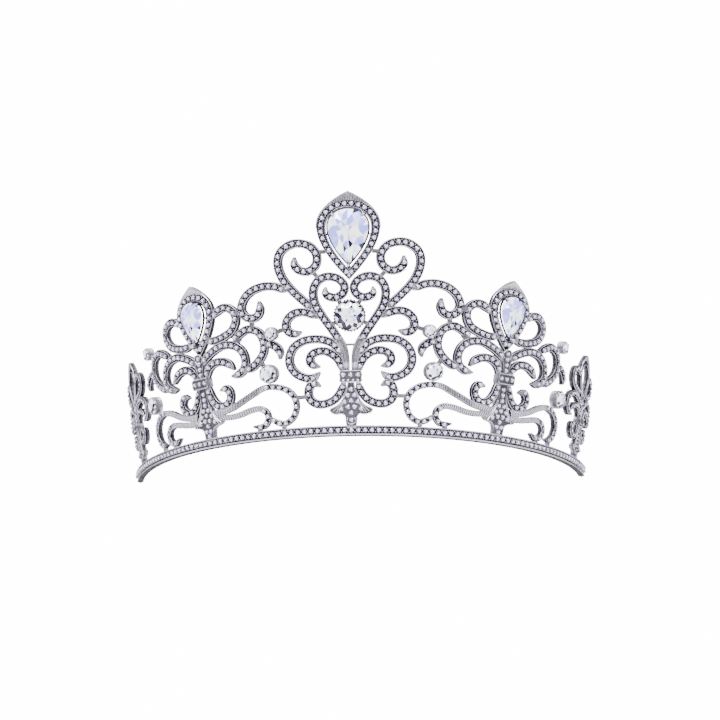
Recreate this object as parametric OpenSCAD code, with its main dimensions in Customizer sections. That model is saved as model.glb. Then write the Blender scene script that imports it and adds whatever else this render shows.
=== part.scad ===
// Bridal tiara: a pave-set base band that carries a pierced scrollwork crest.
// Every ornament is drawn flat, as [arc, height] in millimetres, and is laid on a flared shell:
// arc runs along the band from its front centre, and height runs up from the band's bottom face.
// The origin is the centre of the head circle, on the plane of the band's bottom face. The front faces -Y.

/* [Head circle and crest] */
// Radius of the band's inner face
head_r = 70; // [60:1:84]
// Height of the crest's point above the bottom face
crest_h = 67; // [55:1:80]
// Arc from the front centre to each end of the band
band_reach = 98; // [97:0.5:104]
// Outward lean of the shell at the front, in degrees
front_flare = 17; // [10:1:18]
// Outward lean of the shell at the two ends, in degrees
end_flare = 8; // [4:1:10]

/* [Base band] */
// Height of the band
band_h = 2.7; // [2.3:0.1:3.3]
// Thickness of the band
band_t = 2; // [1.7:0.1:2.4]
// Height of each rim beside the row of stones
rim_h = 0.4; // [0.3:0.05:0.5]
// Depth of the channel that holds the row of stones
channel_d = 0.3; // [0.2:0.05:0.4]

/* [Scroll ribbons] */
// Width of a stone-set scroll
ribbon_w = 2.6; // [2.1:0.1:3.2]
// Width of a plain ribbed arm
arm_w = 1.8; // [1.5:0.1:2.2]
// Thickness of the scrollwork
metal_t = 1.6; // [1.3:0.1:2]
// Share of full size at which the rear motifs are drawn
rear_scale = 0.74; // [0.7:0.01:0.76]

/* [Pave stones] */
// Diameter of a pave stone
pave_d = 1.5; // [1.2:0.1:1.6]
// Height of a pave stone above the metal that it sits on
pave_h = 0.5; // [0.4:0.05:0.7]
// Spacing of pave stones along a scroll
pave_pitch = 1.95; // [1.8:0.05:2.4]

/* [Large stones] */
// Width of the crest's pear stone
crest_gem_w = 11.6; // [9.5:0.1:12]
// Length of the crest's pear stone
crest_gem_l = 15.8; // [13:0.1:19]
// Width of a side motif's pear stone
side_gem_w = 8.6; // [7:0.1:9]
// Length of a side motif's pear stone
side_gem_l = 12; // [10:0.1:12.4]
// Diameter of the round stone in the heart
heart_gem_d = 8.2; // [6.8:0.1:8.6]
// Diameter of the upper connector stones
small_gem_d = 3.2; // [2.6:0.1:3.6]
// Diameter of the lower connector stones
link_gem_d = 4.8; // [4:0.1:5.2]
// Wall of a round stone's collet
collet_wall = 0.35; // [0.25:0.05:0.5]
// Diameter of a claw
claw_d = 0.9; // [0.7:0.1:1.1]

/* [Pin loops] */
// Radius of the hole in each end loop
loop_hole_r = 1.1; // [0.9:0.1:1.4]
// Wall of each end loop
loop_wall = 0.8; // [0.6:0.1:1]

/* [Hidden] */
$fn = 32;
silver = [0.72, 0.72, 0.77];
crystal = [0.86, 0.87, 0.96];
design_h = 67;          // crest height and band height that the drawings are made for
design_band_h = 2.7;
band_foot = 2.4;        // height at which feet and bridges end, inside the band
side_axis = 43.7;       // arc of a side motif's centre line
upper_axis = 42.8;      // arc of its frame and loops, which stand a little nearer to the front
rear_axis = 84.4;       // arc of a rear motif's centre line
taper_l = 3;            // length over which a scroll narrows to its tip
point_w = 0.5;          // width of a pointed tip
rear_w = ribbon_w * 0.72;
tail_reach = 1.5;       // growth of a pear outline at its tail, next to the growth at its sides
frame_steps = 40;       // corners round a pear frame
tip_power = 1.5;        // how sharply a frame's tip draws up to its point
step = 0.01;            // small step that measures the shell's directions
solder_d = 1.2;         // thickness of a bridge bar
gem_lift = 1.2;         // height of a pear stone's girdle above the scrollwork's face
table = 0.58;           // width of a stone's table, as a share of its girdle
gem_gap = 0.02;         // clearance between a round stone and its collet
heart_lift = 0.6;       // heights of the girdles of the heart stone and of the connector stones
link_lift = 0.5;
gallery_w = 0.8;        // width and height of the gallery wire round the back of a pear stone
gallery_h = 0.9;
claw_places = [0, 142, 218];
root_w = 1.2;           // width at which a petal leaves the stem
side_root_w = 1.5;
stem_w = 1.1;           // width of the two stems below the heart, and the length over which they widen
stem_l = 9;
collar_t = 0.9;         // height of a collar above the scrollwork's face, and of its back above the shell
collar_back = -0.2;
pear_peak = 0.7698;     // widest value of sin(t) sin(t/2)
pear_depth = metal_t + gem_lift - 0.3;
band_flare = (front_flare + end_flare) / 2;
band_slope = tan(band_flare);
loop_r = loop_hole_r + loop_wall;
loop_t = 1.2;
loop_sunk = 0.4;        // how far an end loop reaches into the band's end
loop_arc = band_reach + loop_r - loop_sunk;

// ---------------------------------------------------------------- the flared shell

function unit(v) = v / norm(v);
function lift(z) = band_h + (z - design_band_h) * (crest_h - band_h) / (design_h - design_band_h);
function bearing(s) = s / head_r * 180 / PI;
function slope(s) = tan(front_flare) + (tan(end_flare) - tan(front_flare)) * pow(sin(bearing(s)), 2);
function shell_r(s, h) = head_r + h * slope(s);
function skin(s, h) = [shell_r(s, h) * sin(bearing(s)), -shell_r(s, h) * cos(bearing(s)), h];
function across(s, h) = unit(skin(s + step, h) - skin(s - step, h));
function outward(s, h) = unit(cross(across(s, h), skin(s, h + step) - skin(s, h - step)));
function upward(s, h) = cross(outward(s, h), across(s, h));

// Places children on the shell: x runs along the band, y up the shell and z outwards
module on_shell(s, h, out = 0) {
    x = across(s, h);
    z = outward(s, h);
    y = upward(s, h);
    p = skin(s, h) + out * z;
    multmatrix([[x.x, y.x, z.x, p.x], [x.y, y.y, z.y, p.y], [x.z, y.z, z.z, p.z]]) children();
}

// ---------------------------------------------------------------- curves

// A smooth curve through the drawing's points, with n steps between each two
function through(a, b, c, d, t) =
    0.5 * (2 * b + (c - a) * t + (2 * a - 5 * b + 4 * c - d) * t * t + (3 * b - a - 3 * c + d) * t * t * t);
function smooth(p, n) = let (k = len(p) - 1) [
    for (i = [0 : k - 1], j = [0 : n - 1])
        through(p[max(i - 1, 0)], p[i], p[i + 1], p[min(i + 2, k)], j / n),
    p[k]
];
// Drawing points to the shell: side is 1 or -1, axis is the centre line's arc, and size shrinks the drawing
// about the band's top
function placed(p, side, axis = 0, size = 1, flip = 1) = [
    for (q = p) [side * (axis + flip * size * q[0]), lift(design_band_h + size * (q[1] - design_band_h))]
];
function solid_points(p) = [for (q = p) skin(q[0], q[1])];
function run(p) = [for (i = 0, t = 0; i < len(p);
    t = t + (i + 1 < len(p) ? norm(p[i + 1] - p[i]) : 0), i = i + 1) t];
function last(v) = v[len(v) - 1];
// Width of a ribbon: it grows from its root over the lead length, and narrows to its tip
function width_at(d, total, root, w, lead) = min(
    root + (w - root) * sin(90 * min(1, d / lead)),
    point_w + (w - point_w) * sin(90 * min(1, (total - d) / taper_l)));

// ---------------------------------------------------------------- ribbons as meshes

// Four corners of a ribbon's section at each point of its path
function ribbon_rings(p, root, w, lead) = let (c = solid_points(p), d = run(c), k = len(p) - 1) [
    for (i = [0 : k])
        let (t = unit(c[min(i + 1, k)] - c[max(i - 1, 0)]), n = outward(p[i][0], p[i][1]),
             b = cross(n, t) * width_at(d[i], d[k], root, w, lead) / 2)
            [c[i] - b, c[i] + b, c[i] + b + n * metal_t, c[i] - b + n * metal_t]
];
function tube_faces(n, sides, closed) = [
    for (i = [0 : n - (closed ? 1 : 2)], j = [0 : sides - 1], half = [0, 1])
        let (m = (i + 1) % n, k = (j + 1) % sides)
            half == 0 ? [i * sides + j, m * sides + j, m * sides + k]
                      : [i * sides + j, m * sides + k, i * sides + k]
];
function cap_faces(n, sides) = [
    [for (j = [0 : sides - 1]) j], [for (j = [sides - 1 : -1 : 0]) (n - 1) * sides + j]];
function flat(rings) = [for (r = rings) each r];
function tube(rings, closed = false) = let (n = len(rings), sides = len(rings[0]))
    [flat(rings), concat(tube_faces(n, sides, closed), closed ? [] : cap_faces(n, sides))];
function ribbon(p, root, w, lead = taper_l) = tube(ribbon_rings(p, root, w, lead));
// Several separate solids as one mesh
function joined(m, i = 0, at = 0) = i == len(m) ? [[], []] :
    let (rest = joined(m, i + 1, at + len(m[i][0])))
        [concat(m[i][0], rest[0]), concat([for (f = m[i][1]) [for (v = f) v + at]], rest[1])];
module mesh(m) {
    polyhedron(points = m[0], faces = m[1]);
}

// ---------------------------------------------------------------- pear outlines

// Point of a pear outline at angle t, with its tail at t = 0
function pear_point(w, l, t) = let (u = (t + 720) % 360) [
    w / 2 * sin(u) * sin(u / 2) / pear_peak, -l / 2 * cos(u)];
// The same point on an outline that has grown all round, and further at its tail
function pear_grown(w, l, t, grow) =
    pear_point(w + 2 * grow, l + grow * (1 + tail_reach), t) + [0, grow * (1 - tail_reach) / 2];
function ogee(x, half, h) = abs(x) < half ? h * pow(1 - abs(x) / half, tip_power) : 0;

// ---------------------------------------------------------------- the drawings

// Centre motif, right half
upper_scroll = [[9.4, 35.4], [10.5, 36.8], [12.4, 38.9], [14.5, 41.5], [16.2, 44.5], [17, 48], [16.4, 51],
    [14.4, 52.9], [11.9, 53.5], [9.1, 52.5], [7.5, 50], [7.8, 47.2], [9.7, 45.6], [11.7, 46],
    [12.9, 47.6], [12.8, 49.8]];
heart_scroll = [[1.2, 17.9], [1.4, 21.5], [2.1, 24.4], [3.3, 27.2], [4.9, 30.1], [6.8, 33.2], [8.3, 36.2],
    [8.8, 39.2], [8.3, 41.6], [6.9, 43.3], [4.8, 43.9], [2.5, 43.1], [1.2, 41.3], [1.5, 39.3],
    [3.2, 38.1], [5, 38.5], [5.8, 39.6], [5.6, 41.1]];
outer_arm = [[15, 40.8], [16.6, 41.5], [18.6, 42.4], [21.3, 42.7], [24.3, 42], [26.7, 40.2], [27.9, 37.6],
    [27.2, 35.4], [25.4, 34.4], [23.6, 34.9], [22.7, 36.6], [22.8, 38.9]];
mid_hook = [[7.8, 32.7], [9.5, 33.9], [11.6, 34.6], [13.8, 34.4], [15.6, 33], [16.2, 31.1], [15.6, 29.5],
    [14.1, 28.8], [12.2, 29.3]];
fleur_petal = [[2.4, 22.4], [3.2, 24.3], [4.6, 25.7], [6.8, 26.7], [9.4, 27], [12.2, 26.6], [14.6, 25.1],
    [15.9, 22.7], [15.9, 20.2], [14.6, 18.1], [12.3, 16.9], [10, 17.1], [8, 18.2]];
fleur_curl = [[2.2, 17.9], [2.8, 20.4], [4.1, 22.2], [6.3, 23.5], [8.6, 23.5], [10.2, 22.5], [10.5, 20.9],
    [9.6, 19.8], [7.9, 19.3]];
lower_petal = [[1.8, 15.1], [2.7, 12.4], [4.4, 10.3], [6.8, 9.2], [9.2, 9.2], [11, 10.4], [11.5, 12.2],
    [10.9, 13.8], [9.7, 14.3], [8, 13.8]];

// Side motif, left of its own centre line; the right half is its mirror image
loop = [[-2.9, 30.6], [-5.4, 30.1], [-8.3, 30.6], [-11.2, 31.9], [-12.8, 34.4], [-12.5, 37], [-10.5, 38.6],
    [-8.2, 38.4], [-6.2, 36.6]];
petal = [[-1.2, 24.4], [-3, 26], [-5.4, 27.3], [-8.6, 28.3], [-12, 27.8], [-14.4, 25.9], [-15.2, 23.2],
    [-14.5, 20.9], [-12.7, 19.6], [-10.4, 19.3]];
curl = [[-2, 20.1], [-2.9, 22.4], [-5, 23.8], [-7.6, 23.9], [-10, 22.8], [-11.5, 21]];
lower_curl = [[-1.8, 17.6], [-2.7, 14.2], [-4.5, 11.9], [-6.9, 11.4], [-8.8, 12.8], [-9.1, 14.9],
    [-7.9, 16.2], [-6, 15.9]];
wing = [[-12.2, 29.2], [-14.3, 30.5], [-16.5, 31.5], [-18.4, 31.2], [-20.1, 30], [-21, 27.6], [-20.8, 24.9],
    [-19.3, 22.7], [-17.1, 21], [-14.1, 20]];
barb = [[-21.3, 26.9], [-23.2, 26.5], [-24.7, 25.3], [-25.3, 23.8], [-25, 22.2]];

// Arms between the motifs, as arcs from the front centre
ring_arm = [[41.7, 10], [38, 9.9], [34.5, 10.5], [31, 11.9], [27.8, 13.3], [24.4, 14.7], [21, 14.8],
    [17.6, 13.7], [15.5, 11.4], [15.1, 8.6], [16.3, 5.9], [18.7, 4.4], [21.2, 5], [22.7, 6.4]];
front_arm = [[41.2, 8.5], [38, 8.2], [35, 8], [32, 8.3], [29, 9], [26, 9.2], [23.9, 7.9], [23.7, 5.8],
    [25.3, 4.2], [28.4, 4.5]];
rear_ring_arm = [[47.1, 10], [50.5, 9.9], [54.5, 11], [58.5, 12.9], [62.4, 13.8], [65.9, 12.7],
    [67.7, 10], [67.4, 6.8], [65.6, 4.8], [63.4, 4.7]];
rear_arm = [[47.6, 8.5], [51, 8.1], [54.5, 8.7], [58.4, 9.4], [60.9, 8.4], [61.6, 6.4], [60.4, 4.5],
    [58.4, 4.2], [56.4, 5.2]];

// Where the round connector stones sit: [arc, height, diameter]
link_stones = [[20.2, 29.5, small_gem_d], [22, 18.5, link_gem_d], [66.2, 32.9, small_gem_d],
    [67.2, 17.3, link_gem_d]];
heart_z = 33.1;
frame_half = 1.05;       // half the width of a pear frame
crest_point = 2.3;       // how far a frame's tip stands above its rounded top
gem_side_gap = 0.6;      // clearances between a pear stone and its frame, at its sides and at its ends
gem_end_gap = 0.8;
crest_stretch = 1.24;    // real length of a unit of arc at the crest and at the side motifs
side_stretch = 1.13;
lean_share = 0.96;       // rise in height of a unit of length up the leaning shell
side_h = 47;             // height of a side frame's tip
stone_rise = 0.6;        // height of a pear stone's middle above its frame's middle
function frame_w(gem_w, stretch) = (gem_w + 2 * gem_side_gap) / stretch + 2 * frame_half;
function frame_l(gem_l) = (gem_l + 2 * gem_end_gap) * lean_share + frame_half * (1 + tail_reach);
crest_frame_w = frame_w(crest_gem_w, crest_stretch);
crest_frame_l = frame_l(crest_gem_l);
side_frame_w = frame_w(side_gem_w, side_stretch);
side_frame_l = frame_l(side_gem_l);
crest_centre = design_h - crest_point - frame_half - crest_frame_l / 2;
side_pear_centre = side_h - crest_point - frame_half - side_frame_l / 2;

// Bridges on both sides, from one drawing point to another, and the small one between the stems
bridge_ends = [
    [[3, 31.7], [4.9, 30.6]], [[1.9, 35.9], [3, 37.9]], [[5.4, 50.7], [6.9, 50.7]], [[7.3, 43.6], [8.7, 45.4]],
    [[12, 11.3], [14.6, 11.3]], [[16.6, 30.4], [19, 29.8]], [[21.2, 29.3], [22.9, 28.7]],
    [[23.3, 20.6], [24.4, 22.6]], [[25.5, 33.9], [25.5, 31.6]], [[28.4, 36.6], [31, 36.4]],
    [[19.2, band_foot], [19.2, 4.2]], [[26.6, band_foot], [26.6, 4]], [[59.4, band_foot], [59.4, 4]],
    [[65.4, band_foot], [65.4, 4.4]], [[69, 17.3], [73.2, 17.3]], [[63.8, 30.4], [65.4, 32.2]],
    [[29.4, 29.4], [30.4, 28.6]]
];
stem_z = 25.2;
stem_half = 2.2;

// Half outlines of the flat pieces, as [half width, height]
centre_collar = [[2.7, 14.8], [3.1, 15.3], [2.9, 16.1], [3.1, 17], [2.8, 18.2]];
centre_foot = [[0.9, 15], [1.4, 12.6], [2.4, 10.4], [3.8, 8.8], [5.9, 7.7], [5.6, 6.6], [4.2, 6],
    [2.4, 6.1], [1.7, 5.4], [1.6, 4.2], [1.3, band_foot]];
side_collar_outline = [[2.6, 17.3], [2.9, 17.8], [2.9, 19.9], [2.5, 20.4]];
side_stem_outline = [[0.8, 27.4], [1.6, 26.2], [1.6, 24], [1.3, 22.6], [1.1, 20.2], [1.4, 17.5], [1.5, 13.5],
    [2.4, 11], [3.4, 8.9], [5.4, 7.7], [5, 6.6], [3, 6.1], [2.1, 5.4], [1.8, 4.2], [1.8, band_foot]];

// Single stones on the flat pieces, as [arc from the centre line, height], and their shares of full size
foot_stone = 0.85;
collar_stone = 0.9;
side_foot_stone = 0.8;
side_collar_stone = 0.75;
centre_foot_stones = [[0, 13], [-0.9, 11.4], [0.9, 11.4], [0, 9.9], [-1.8, 9.6], [1.8, 9.6],
    [-0.9, 8.2], [0.9, 8.2], [-2.7, 7.7], [2.7, 7.7], [0, 6.6], [0, 4.6]];
collar_stones = [[-2, 17], [0, 17], [2, 17]];
side_foot_stones = [[0, 15.8], [0, 14.2], [0, 12.6], [-0.9, 11.1], [0.9, 11.1], [0, 9.7],
    [-1.8, 9.4], [1.8, 9.4],
    [-0.9, 8.1], [0.9, 8.1], [-2.7, 7.6], [2.7, 7.6], [0, 6.6], [-0.8, 5.1], [0.8, 5.1], [0, 3.7]];
side_collar_stones = [[-1.9, 18.85], [0, 18.85], [1.9, 18.85]];

// ---------------------------------------------------------------- pieces that repeat

// A scroll of the centre motif on one side
module centre_scroll(drawing, side, root = ribbon_w, lead = taper_l) {
    color(silver) mesh(ribbon(smooth(placed(drawing, side), 3), root, ribbon_w, lead));
}
// Mirrored pairs of scrolls about a motif's centre line, as separate solids
module motif_pairs(drawings, side, axis, size, root, w) {
    color(silver) mesh(joined([for (drawing = drawings, flip = [-1, 1])
        ribbon(smooth(placed(drawing, side, axis, size, flip), 2), root, w)]));
}
module arms(drawings, side) {
    color(silver) mesh(joined([for (drawing = drawings)
        ribbon(smooth(placed(drawing, side), 2), arm_w * 0.8, arm_w)]));
}

// A pear-shaped frame with a pointed tip, between an inner and an outer outline
function frame_corner(s0, centre, w, l, size, t, grow, out) = let (
    q = pear_grown(w, l, t, grow),
    tip = grow > 0 && q.y > 0 ? ogee(q.x, w / 2, crest_point) : 0,
    s = s0 + size * q.x,
    h = lift(design_band_h + size * (centre + q.y + tip - design_band_h)))
    skin(s, h) + out * outward(s, h);
module pear_frame(s0, centre, w, l, size = 1) {
    color(silver) mesh(tube([for (i = [0 : frame_steps - 1]) let (t = 360 * i / frame_steps) [
        frame_corner(s0, centre, w, l, size, t, frame_half, 0),
        frame_corner(s0, centre, w, l, size, t, -frame_half, 0),
        frame_corner(s0, centre, w, l, size, t, -frame_half, metal_t),
        frame_corner(s0, centre, w, l, size, t, frame_half, metal_t)]], true));
}

// A flat piece whose half outline is drawn as [half width, height]
module flat_piece(side, axis, drawing, size = 1, back = 0, face = metal_t) {
    heights = [for (q = drawing) lift(design_band_h + size * (q[1] - design_band_h))];
    middle = (min(heights) + max(heights)) / 2;
    s = side * axis;
    stretch = shell_r(s, middle) / head_r;
    rise = upward(s, middle).z;
    half = [for (i = [0 : len(drawing) - 1]) [size * drawing[i][0] * stretch, (heights[i] - middle) / rise]];
    color(silver) on_shell(s, middle, back)
        linear_extrude(face - back)
            polygon(concat(half, [for (i = [len(half) - 1 : -1 : 0]) [-half[i].x, half[i].y]]));
}

// A bar between two drawing points
module bar(side, a, b, w = solder_d) {
    p = [side * a[0], lift(a[1])];
    q = [side * b[0], lift(b[1])];
    m = (p + q) / 2;
    d = skin(q[0], q[1]) - skin(p[0], p[1]);
    turn = atan2(d * upward(m[0], m[1]), d * across(m[0], m[1]));
    color(silver) on_shell(m[0], m[1], metal_t / 2) rotate(turn)
        cube([norm(d), w, metal_t * 0.75], center = true);
}

// ---------------------------------------------------------------- stones and their settings

// Evenly spaced places along a curve, leaving a stretch bare at each end
function spots_along(p, from, to, pitch) = let (d = run(solid_points(p)), total = last(d) - from - to,
    n = max(1, round(total / pitch)),
    arcs = [for (i = [0 : len(p) - 1]) [d[i], p[i][0]]],
    heights = [for (i = [0 : len(p) - 1]) [d[i], p[i][1]]])
    [for (i = [0 : n]) let (x = from + total * i / n) [lookup(x, arcs), lookup(x, heights)]];
function spots_at(side, axis, list, size = 1) = [
    for (q = list) [side * (axis + size * q[0]), lift(design_band_h + size * (q[1] - design_band_h))]];
module pave_stones(spots, size = 1, out = metal_t) {
    color(crystal) for (q = spots) on_shell(q[0], q[1], out)
        cylinder(h = pave_h * size, d1 = pave_d * size, d2 = pave_d * size * table);
}
module pave_row(drawing, side, from, to, axis = 0, size = 1, flip = 1) {
    line = smooth(placed(drawing, side, axis, size, flip), 4);
    pave_stones(spots_along(line, from * size, to * size, pave_pitch * size), size);
}
// Stones round a pear frame, from beside its tail and back to it
module pave_frame(side, axis, centre, w, l) {
    outline = [for (i = [0 : 60]) let (p = pear_point(w, l, 6 * i)) [side * (axis + p.x), lift(centre + p.y)]];
    pave_stones(spots_along(outline, pave_pitch / 2, pave_pitch / 2, pave_pitch));
}

// A round brilliant, with its girdle at z = 0
module round_stone(d) {
    color(crystal) rotate_extrude()
        polygon([[0, -0.42 * d], [d / 2, -0.02 * d], [d / 2, 0.02 * d], [d / 2 * table, 0.16 * d],
                 [0, 0.16 * d]]);
}
// A cup that holds a round brilliant, from its back to a lip above the girdle
module collet(d, back) {
    seat = d / 2 + gem_gap;
    color(silver) rotate_extrude()
        polygon([[0, -back], [seat + collet_wall, -back], [seat + collet_wall, 0.08 * d], [seat, 0.08 * d],
                 [seat, -0.03 * d], [0.1 * d, -0.43 * d], [0, -0.43 * d]]);
}
// A pear-cut stone, with its girdle at z = 0 and its tail down
module pear_stone(w, l) {
    function level(k, z) = [for (i = [0 : 27]) let (p = pear_point(w, l, 360 * i / 28)) [k * p.x, k * p.y, z]];
    color(crystal) mesh(tube([level(0.06, -pear_depth), level(1, -0.02 * w), level(1, 0.02 * w),
        level(table, 0.16 * w)]));
}
// A gallery below a pear stone, with three claws that hold the stone down
module pear_basket(w, l) {
    function wire(grow) = [for (i = [0 : 27]) pear_grown(w, l, 360 * i / 28, grow)];
    color(silver) {
        translate([0, 0, -metal_t - gem_lift]) linear_extrude(gallery_h) difference() {
            polygon(wire(gallery_w / 2));
            polygon(wire(-gallery_w / 2));
        }
        for (t = claw_places) let (p = pear_grown(w, l, t, claw_d * 0.45)) {
            translate([p.x, p.y, -metal_t - gem_lift]) cylinder(h = metal_t + gem_lift + 0.05 * w, d = claw_d);
            translate([p.x, p.y, 0.05 * w]) sphere(d = claw_d);
        }
    }
}

// ---------------------------------------------------------------- the band

module base_band() {
    outer = head_r + band_t;
    function at(r, h) = [r + h * band_slope, h];
    color(silver) rotate(-90 - bearing(band_reach)) rotate_extrude(angle = 2 * bearing(band_reach), $fn = 96)
        polygon([at(head_r, 0), at(outer, 0), at(outer, rim_h), at(outer - channel_d, rim_h),
                 at(outer - channel_d, band_h - rim_h), at(outer, band_h - rim_h), at(outer, band_h),
                 at(head_r, band_h)]);
}
module band_pave() {
    reach = band_reach - pave_d;
    n = floor(reach * (1 + band_t / head_r) / pave_pitch);
    color(crystal) for (i = [-n : n]) rotate(bearing(reach * i / n))
        translate([0, -(head_r + band_t - channel_d + band_h / 2 * band_slope), band_h / 2])
            rotate([90 + band_flare, 0, 0]) cylinder(h = channel_d + pave_h, d1 = pave_d, d2 = pave_d * table);
}
module pin_loops() {
    color(silver) for (side = [-1, 1]) rotate(side * bearing(loop_arc))
        translate([0, -(head_r + band_t / 2), loop_r]) rotate([90, 0, 0]) difference() {
            cylinder(h = loop_t, r = loop_r, center = true);
            cylinder(h = 2 * loop_t, r = loop_hole_r, center = true);
        }
}

// ---------------------------------------------------------------- the crest and the centre motif

module crest_frame() { pear_frame(0, crest_centre, crest_frame_w, crest_frame_l); }
module at_crest() { on_shell(0, lift(crest_centre + stone_rise), metal_t + gem_lift) children(); }
module crest_gem() { at_crest() pear_stone(crest_gem_w, crest_gem_l); }
module crest_basket() { at_crest() pear_basket(crest_gem_w, crest_gem_l); }
module heart_gem() { on_shell(0, lift(heart_z), metal_t + heart_lift) round_stone(heart_gem_d); }
module heart_collet() {
    on_shell(0, lift(heart_z), metal_t + heart_lift) collet(heart_gem_d, heart_gem_d / 2);
}
module fleur_collar() { flat_piece(1, 0, centre_collar, back = collar_back, face = metal_t + collar_t); }
module fleur_foot() { flat_piece(1, 0, centre_foot); }
module midline_pave() {
    pave_frame(1, 0, crest_centre, crest_frame_w, crest_frame_l);
    pave_stones(spots_at(1, 0, centre_foot_stones), foot_stone);
    pave_stones(spots_at(1, 0, collar_stones), collar_stone, metal_t + collar_t);
}
module centre_pave(side) {
    pave_row(upper_scroll, side, 1.4, 2);
    pave_row(heart_scroll, side, 10.4, 1.6);
    pave_row(outer_arm, side, 1.9, 2);
    pave_row(mid_hook, side, 2.4, 1.9);
    pave_row(fleur_petal, side, 1.5, 2.6);
    pave_row(fleur_curl, side, 1.5, 2.1);
    pave_row(lower_petal, side, 1.5, 2.1);
}

// ---------------------------------------------------------------- the side motifs

module side_frame(side) { pear_frame(side * upper_axis, side_pear_centre, side_frame_w, side_frame_l); }
module at_side(side) {
    on_shell(side * upper_axis, lift(side_pear_centre + stone_rise), metal_t + gem_lift) children();
}
module side_gem(side) { at_side(side) pear_stone(side_gem_w, side_gem_l); }
module side_basket(side) { at_side(side) pear_basket(side_gem_w, side_gem_l); }
module side_loops(side) { motif_pairs([loop], side, upper_axis, 1, side_root_w, ribbon_w); }
module side_scrolls(drawings, side) { motif_pairs(drawings, side, side_axis, 1, side_root_w, ribbon_w); }
module wing_barbs() {
    for (side = [-1, 1]) motif_pairs([barb], side, side_axis, 1, side_root_w, ribbon_w);
}
module side_collar(side) {
    flat_piece(side, side_axis, side_collar_outline, back = collar_back, face = metal_t + collar_t);
}
module side_stem(side) { flat_piece(side, side_axis, side_stem_outline); }
module side_pave(side) {
    pave_frame(side, upper_axis, side_pear_centre, side_frame_w, side_frame_l);
    for (flip = [-1, 1]) {
        pave_row(loop, side, 2, 1.2, upper_axis, 1, flip);
        pave_row(petal, side, 1.6, 2.6, side_axis, 1, flip);
        pave_row(curl, side, 1.4, 2.2, side_axis, 1, flip);
        pave_row(lower_curl, side, 1.4, 2, side_axis, 1, flip);
        pave_row(wing, side, 1.2, 2.4, side_axis, 1, flip);
        pave_row(barb, side, 1.5, 1.9, side_axis, 1, flip);
    }
    pave_row(ring_arm, side, 20.5, 1.2);
    pave_row(front_arm, side, 17.5, 2.4);
    pave_row(rear_ring_arm, side, 16.5, 1.6);
    pave_row(rear_arm, side, 13.5, 2.2);
    pave_stones(spots_at(side, side_axis, side_foot_stones), side_foot_stone);
    pave_stones(spots_at(side, side_axis, side_collar_stones), side_collar_stone, metal_t + collar_t);
}

// ---------------------------------------------------------------- round connector stones and bridges

module connector_gems() {
    for (side = [-1, 1], q = link_stones)
        on_shell(side * q[0], lift(q[1]), metal_t + link_lift) round_stone(q[2]);
}
module connector_collets() {
    for (side = [-1, 1], q = link_stones) on_shell(side * q[0], lift(q[1]), metal_t + link_lift)
        collet(q[2], max(metal_t + link_lift, q[2] / 2));
}
module bridges() {
    for (side = [-1, 1], e = bridge_ends) bar(side, e[0], e[1]);
    bar(1, [-stem_half, stem_z], [stem_half, stem_z], solder_d * 0.6);
}

// ---------------------------------------------------------------- the rear motifs

module rear_frames() {
    for (side = [-1, 1])
        pear_frame(side * rear_axis, side_pear_centre, side_frame_w, side_frame_l, rear_scale);
}
module rear_scrolls(drawings) {
    for (side = [-1, 1]) motif_pairs(drawings, side, rear_axis, rear_scale, side_root_w * rear_scale, rear_w);
}
module rear_stems() {
    for (side = [-1, 1]) {
        flat_piece(side, rear_axis, side_stem_outline, rear_scale);
        flat_piece(side, rear_axis, side_collar_outline, rear_scale, collar_back,
                   metal_t + collar_t * rear_scale);
    }
}
module rear_pave() {
    for (side = [-1, 1]) {
        for (flip = [-1, 1]) {
            pave_row(loop, side, 2.2, 1.4, rear_axis, rear_scale, flip);
            pave_row(petal, side, 1.6, 2.6, rear_axis, rear_scale, flip);
            pave_row(curl, side, 1.4, 2.2, rear_axis, rear_scale, flip);
            pave_row(lower_curl, side, 1.4, 2, rear_axis, rear_scale, flip);
        }
        pave_stones(spots_at(side, rear_axis, side_foot_stones, rear_scale), side_foot_stone * rear_scale);
    }
}

// ---------------------------------------------------------------- the nodes

base_band();
band_pave();
pin_loops();
crest_frame();
crest_basket();
crest_gem();
midline_pave();
heart_collet();
heart_gem();
fleur_collar();
fleur_foot();
centre_scroll(upper_scroll, -1);  // left_upper_scroll
centre_scroll(upper_scroll, 1);  // right_upper_scroll
centre_scroll(heart_scroll, -1, stem_w, stem_l);  // left_heart_scroll
centre_scroll(heart_scroll, 1, stem_w, stem_l);  // right_heart_scroll
centre_scroll(outer_arm, -1);  // left_outer_arm
centre_scroll(outer_arm, 1);  // right_outer_arm
centre_scroll(mid_hook, -1);  // left_mid_hook
centre_scroll(mid_hook, 1);  // right_mid_hook
centre_scroll(fleur_petal, -1, root_w);  // left_fleur_petal
centre_scroll(fleur_petal, 1, root_w);  // right_fleur_petal
centre_scroll(fleur_curl, -1, root_w);  // left_fleur_curl
centre_scroll(fleur_curl, 1, root_w);  // right_fleur_curl
centre_scroll(lower_petal, -1, root_w);  // left_lower_petal
centre_scroll(lower_petal, 1, root_w);  // right_lower_petal
centre_pave(-1);  // left_centre_pave
centre_pave(1);  // right_centre_pave
side_frame(-1);  // left_side_frame
side_frame(1);  // right_side_frame
side_basket(-1);  // left_side_basket
side_basket(1);  // right_side_basket
side_gem(-1);  // left_side_gem
side_gem(1);  // right_side_gem
side_loops(-1);  // left_side_loops
side_loops(1);  // right_side_loops
side_scrolls([petal], -1);  // left_side_petals
side_scrolls([petal], 1);  // right_side_petals
side_scrolls([curl, lower_curl], -1);  // left_side_curls
side_scrolls([curl, lower_curl], 1);  // right_side_curls
side_collar(-1);  // left_side_collar
side_collar(1);  // right_side_collar
side_stem(-1);  // left_side_stem
side_stem(1);  // right_side_stem
side_scrolls([wing], -1);  // left_side_wings
side_scrolls([wing], 1);  // right_side_wings
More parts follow.
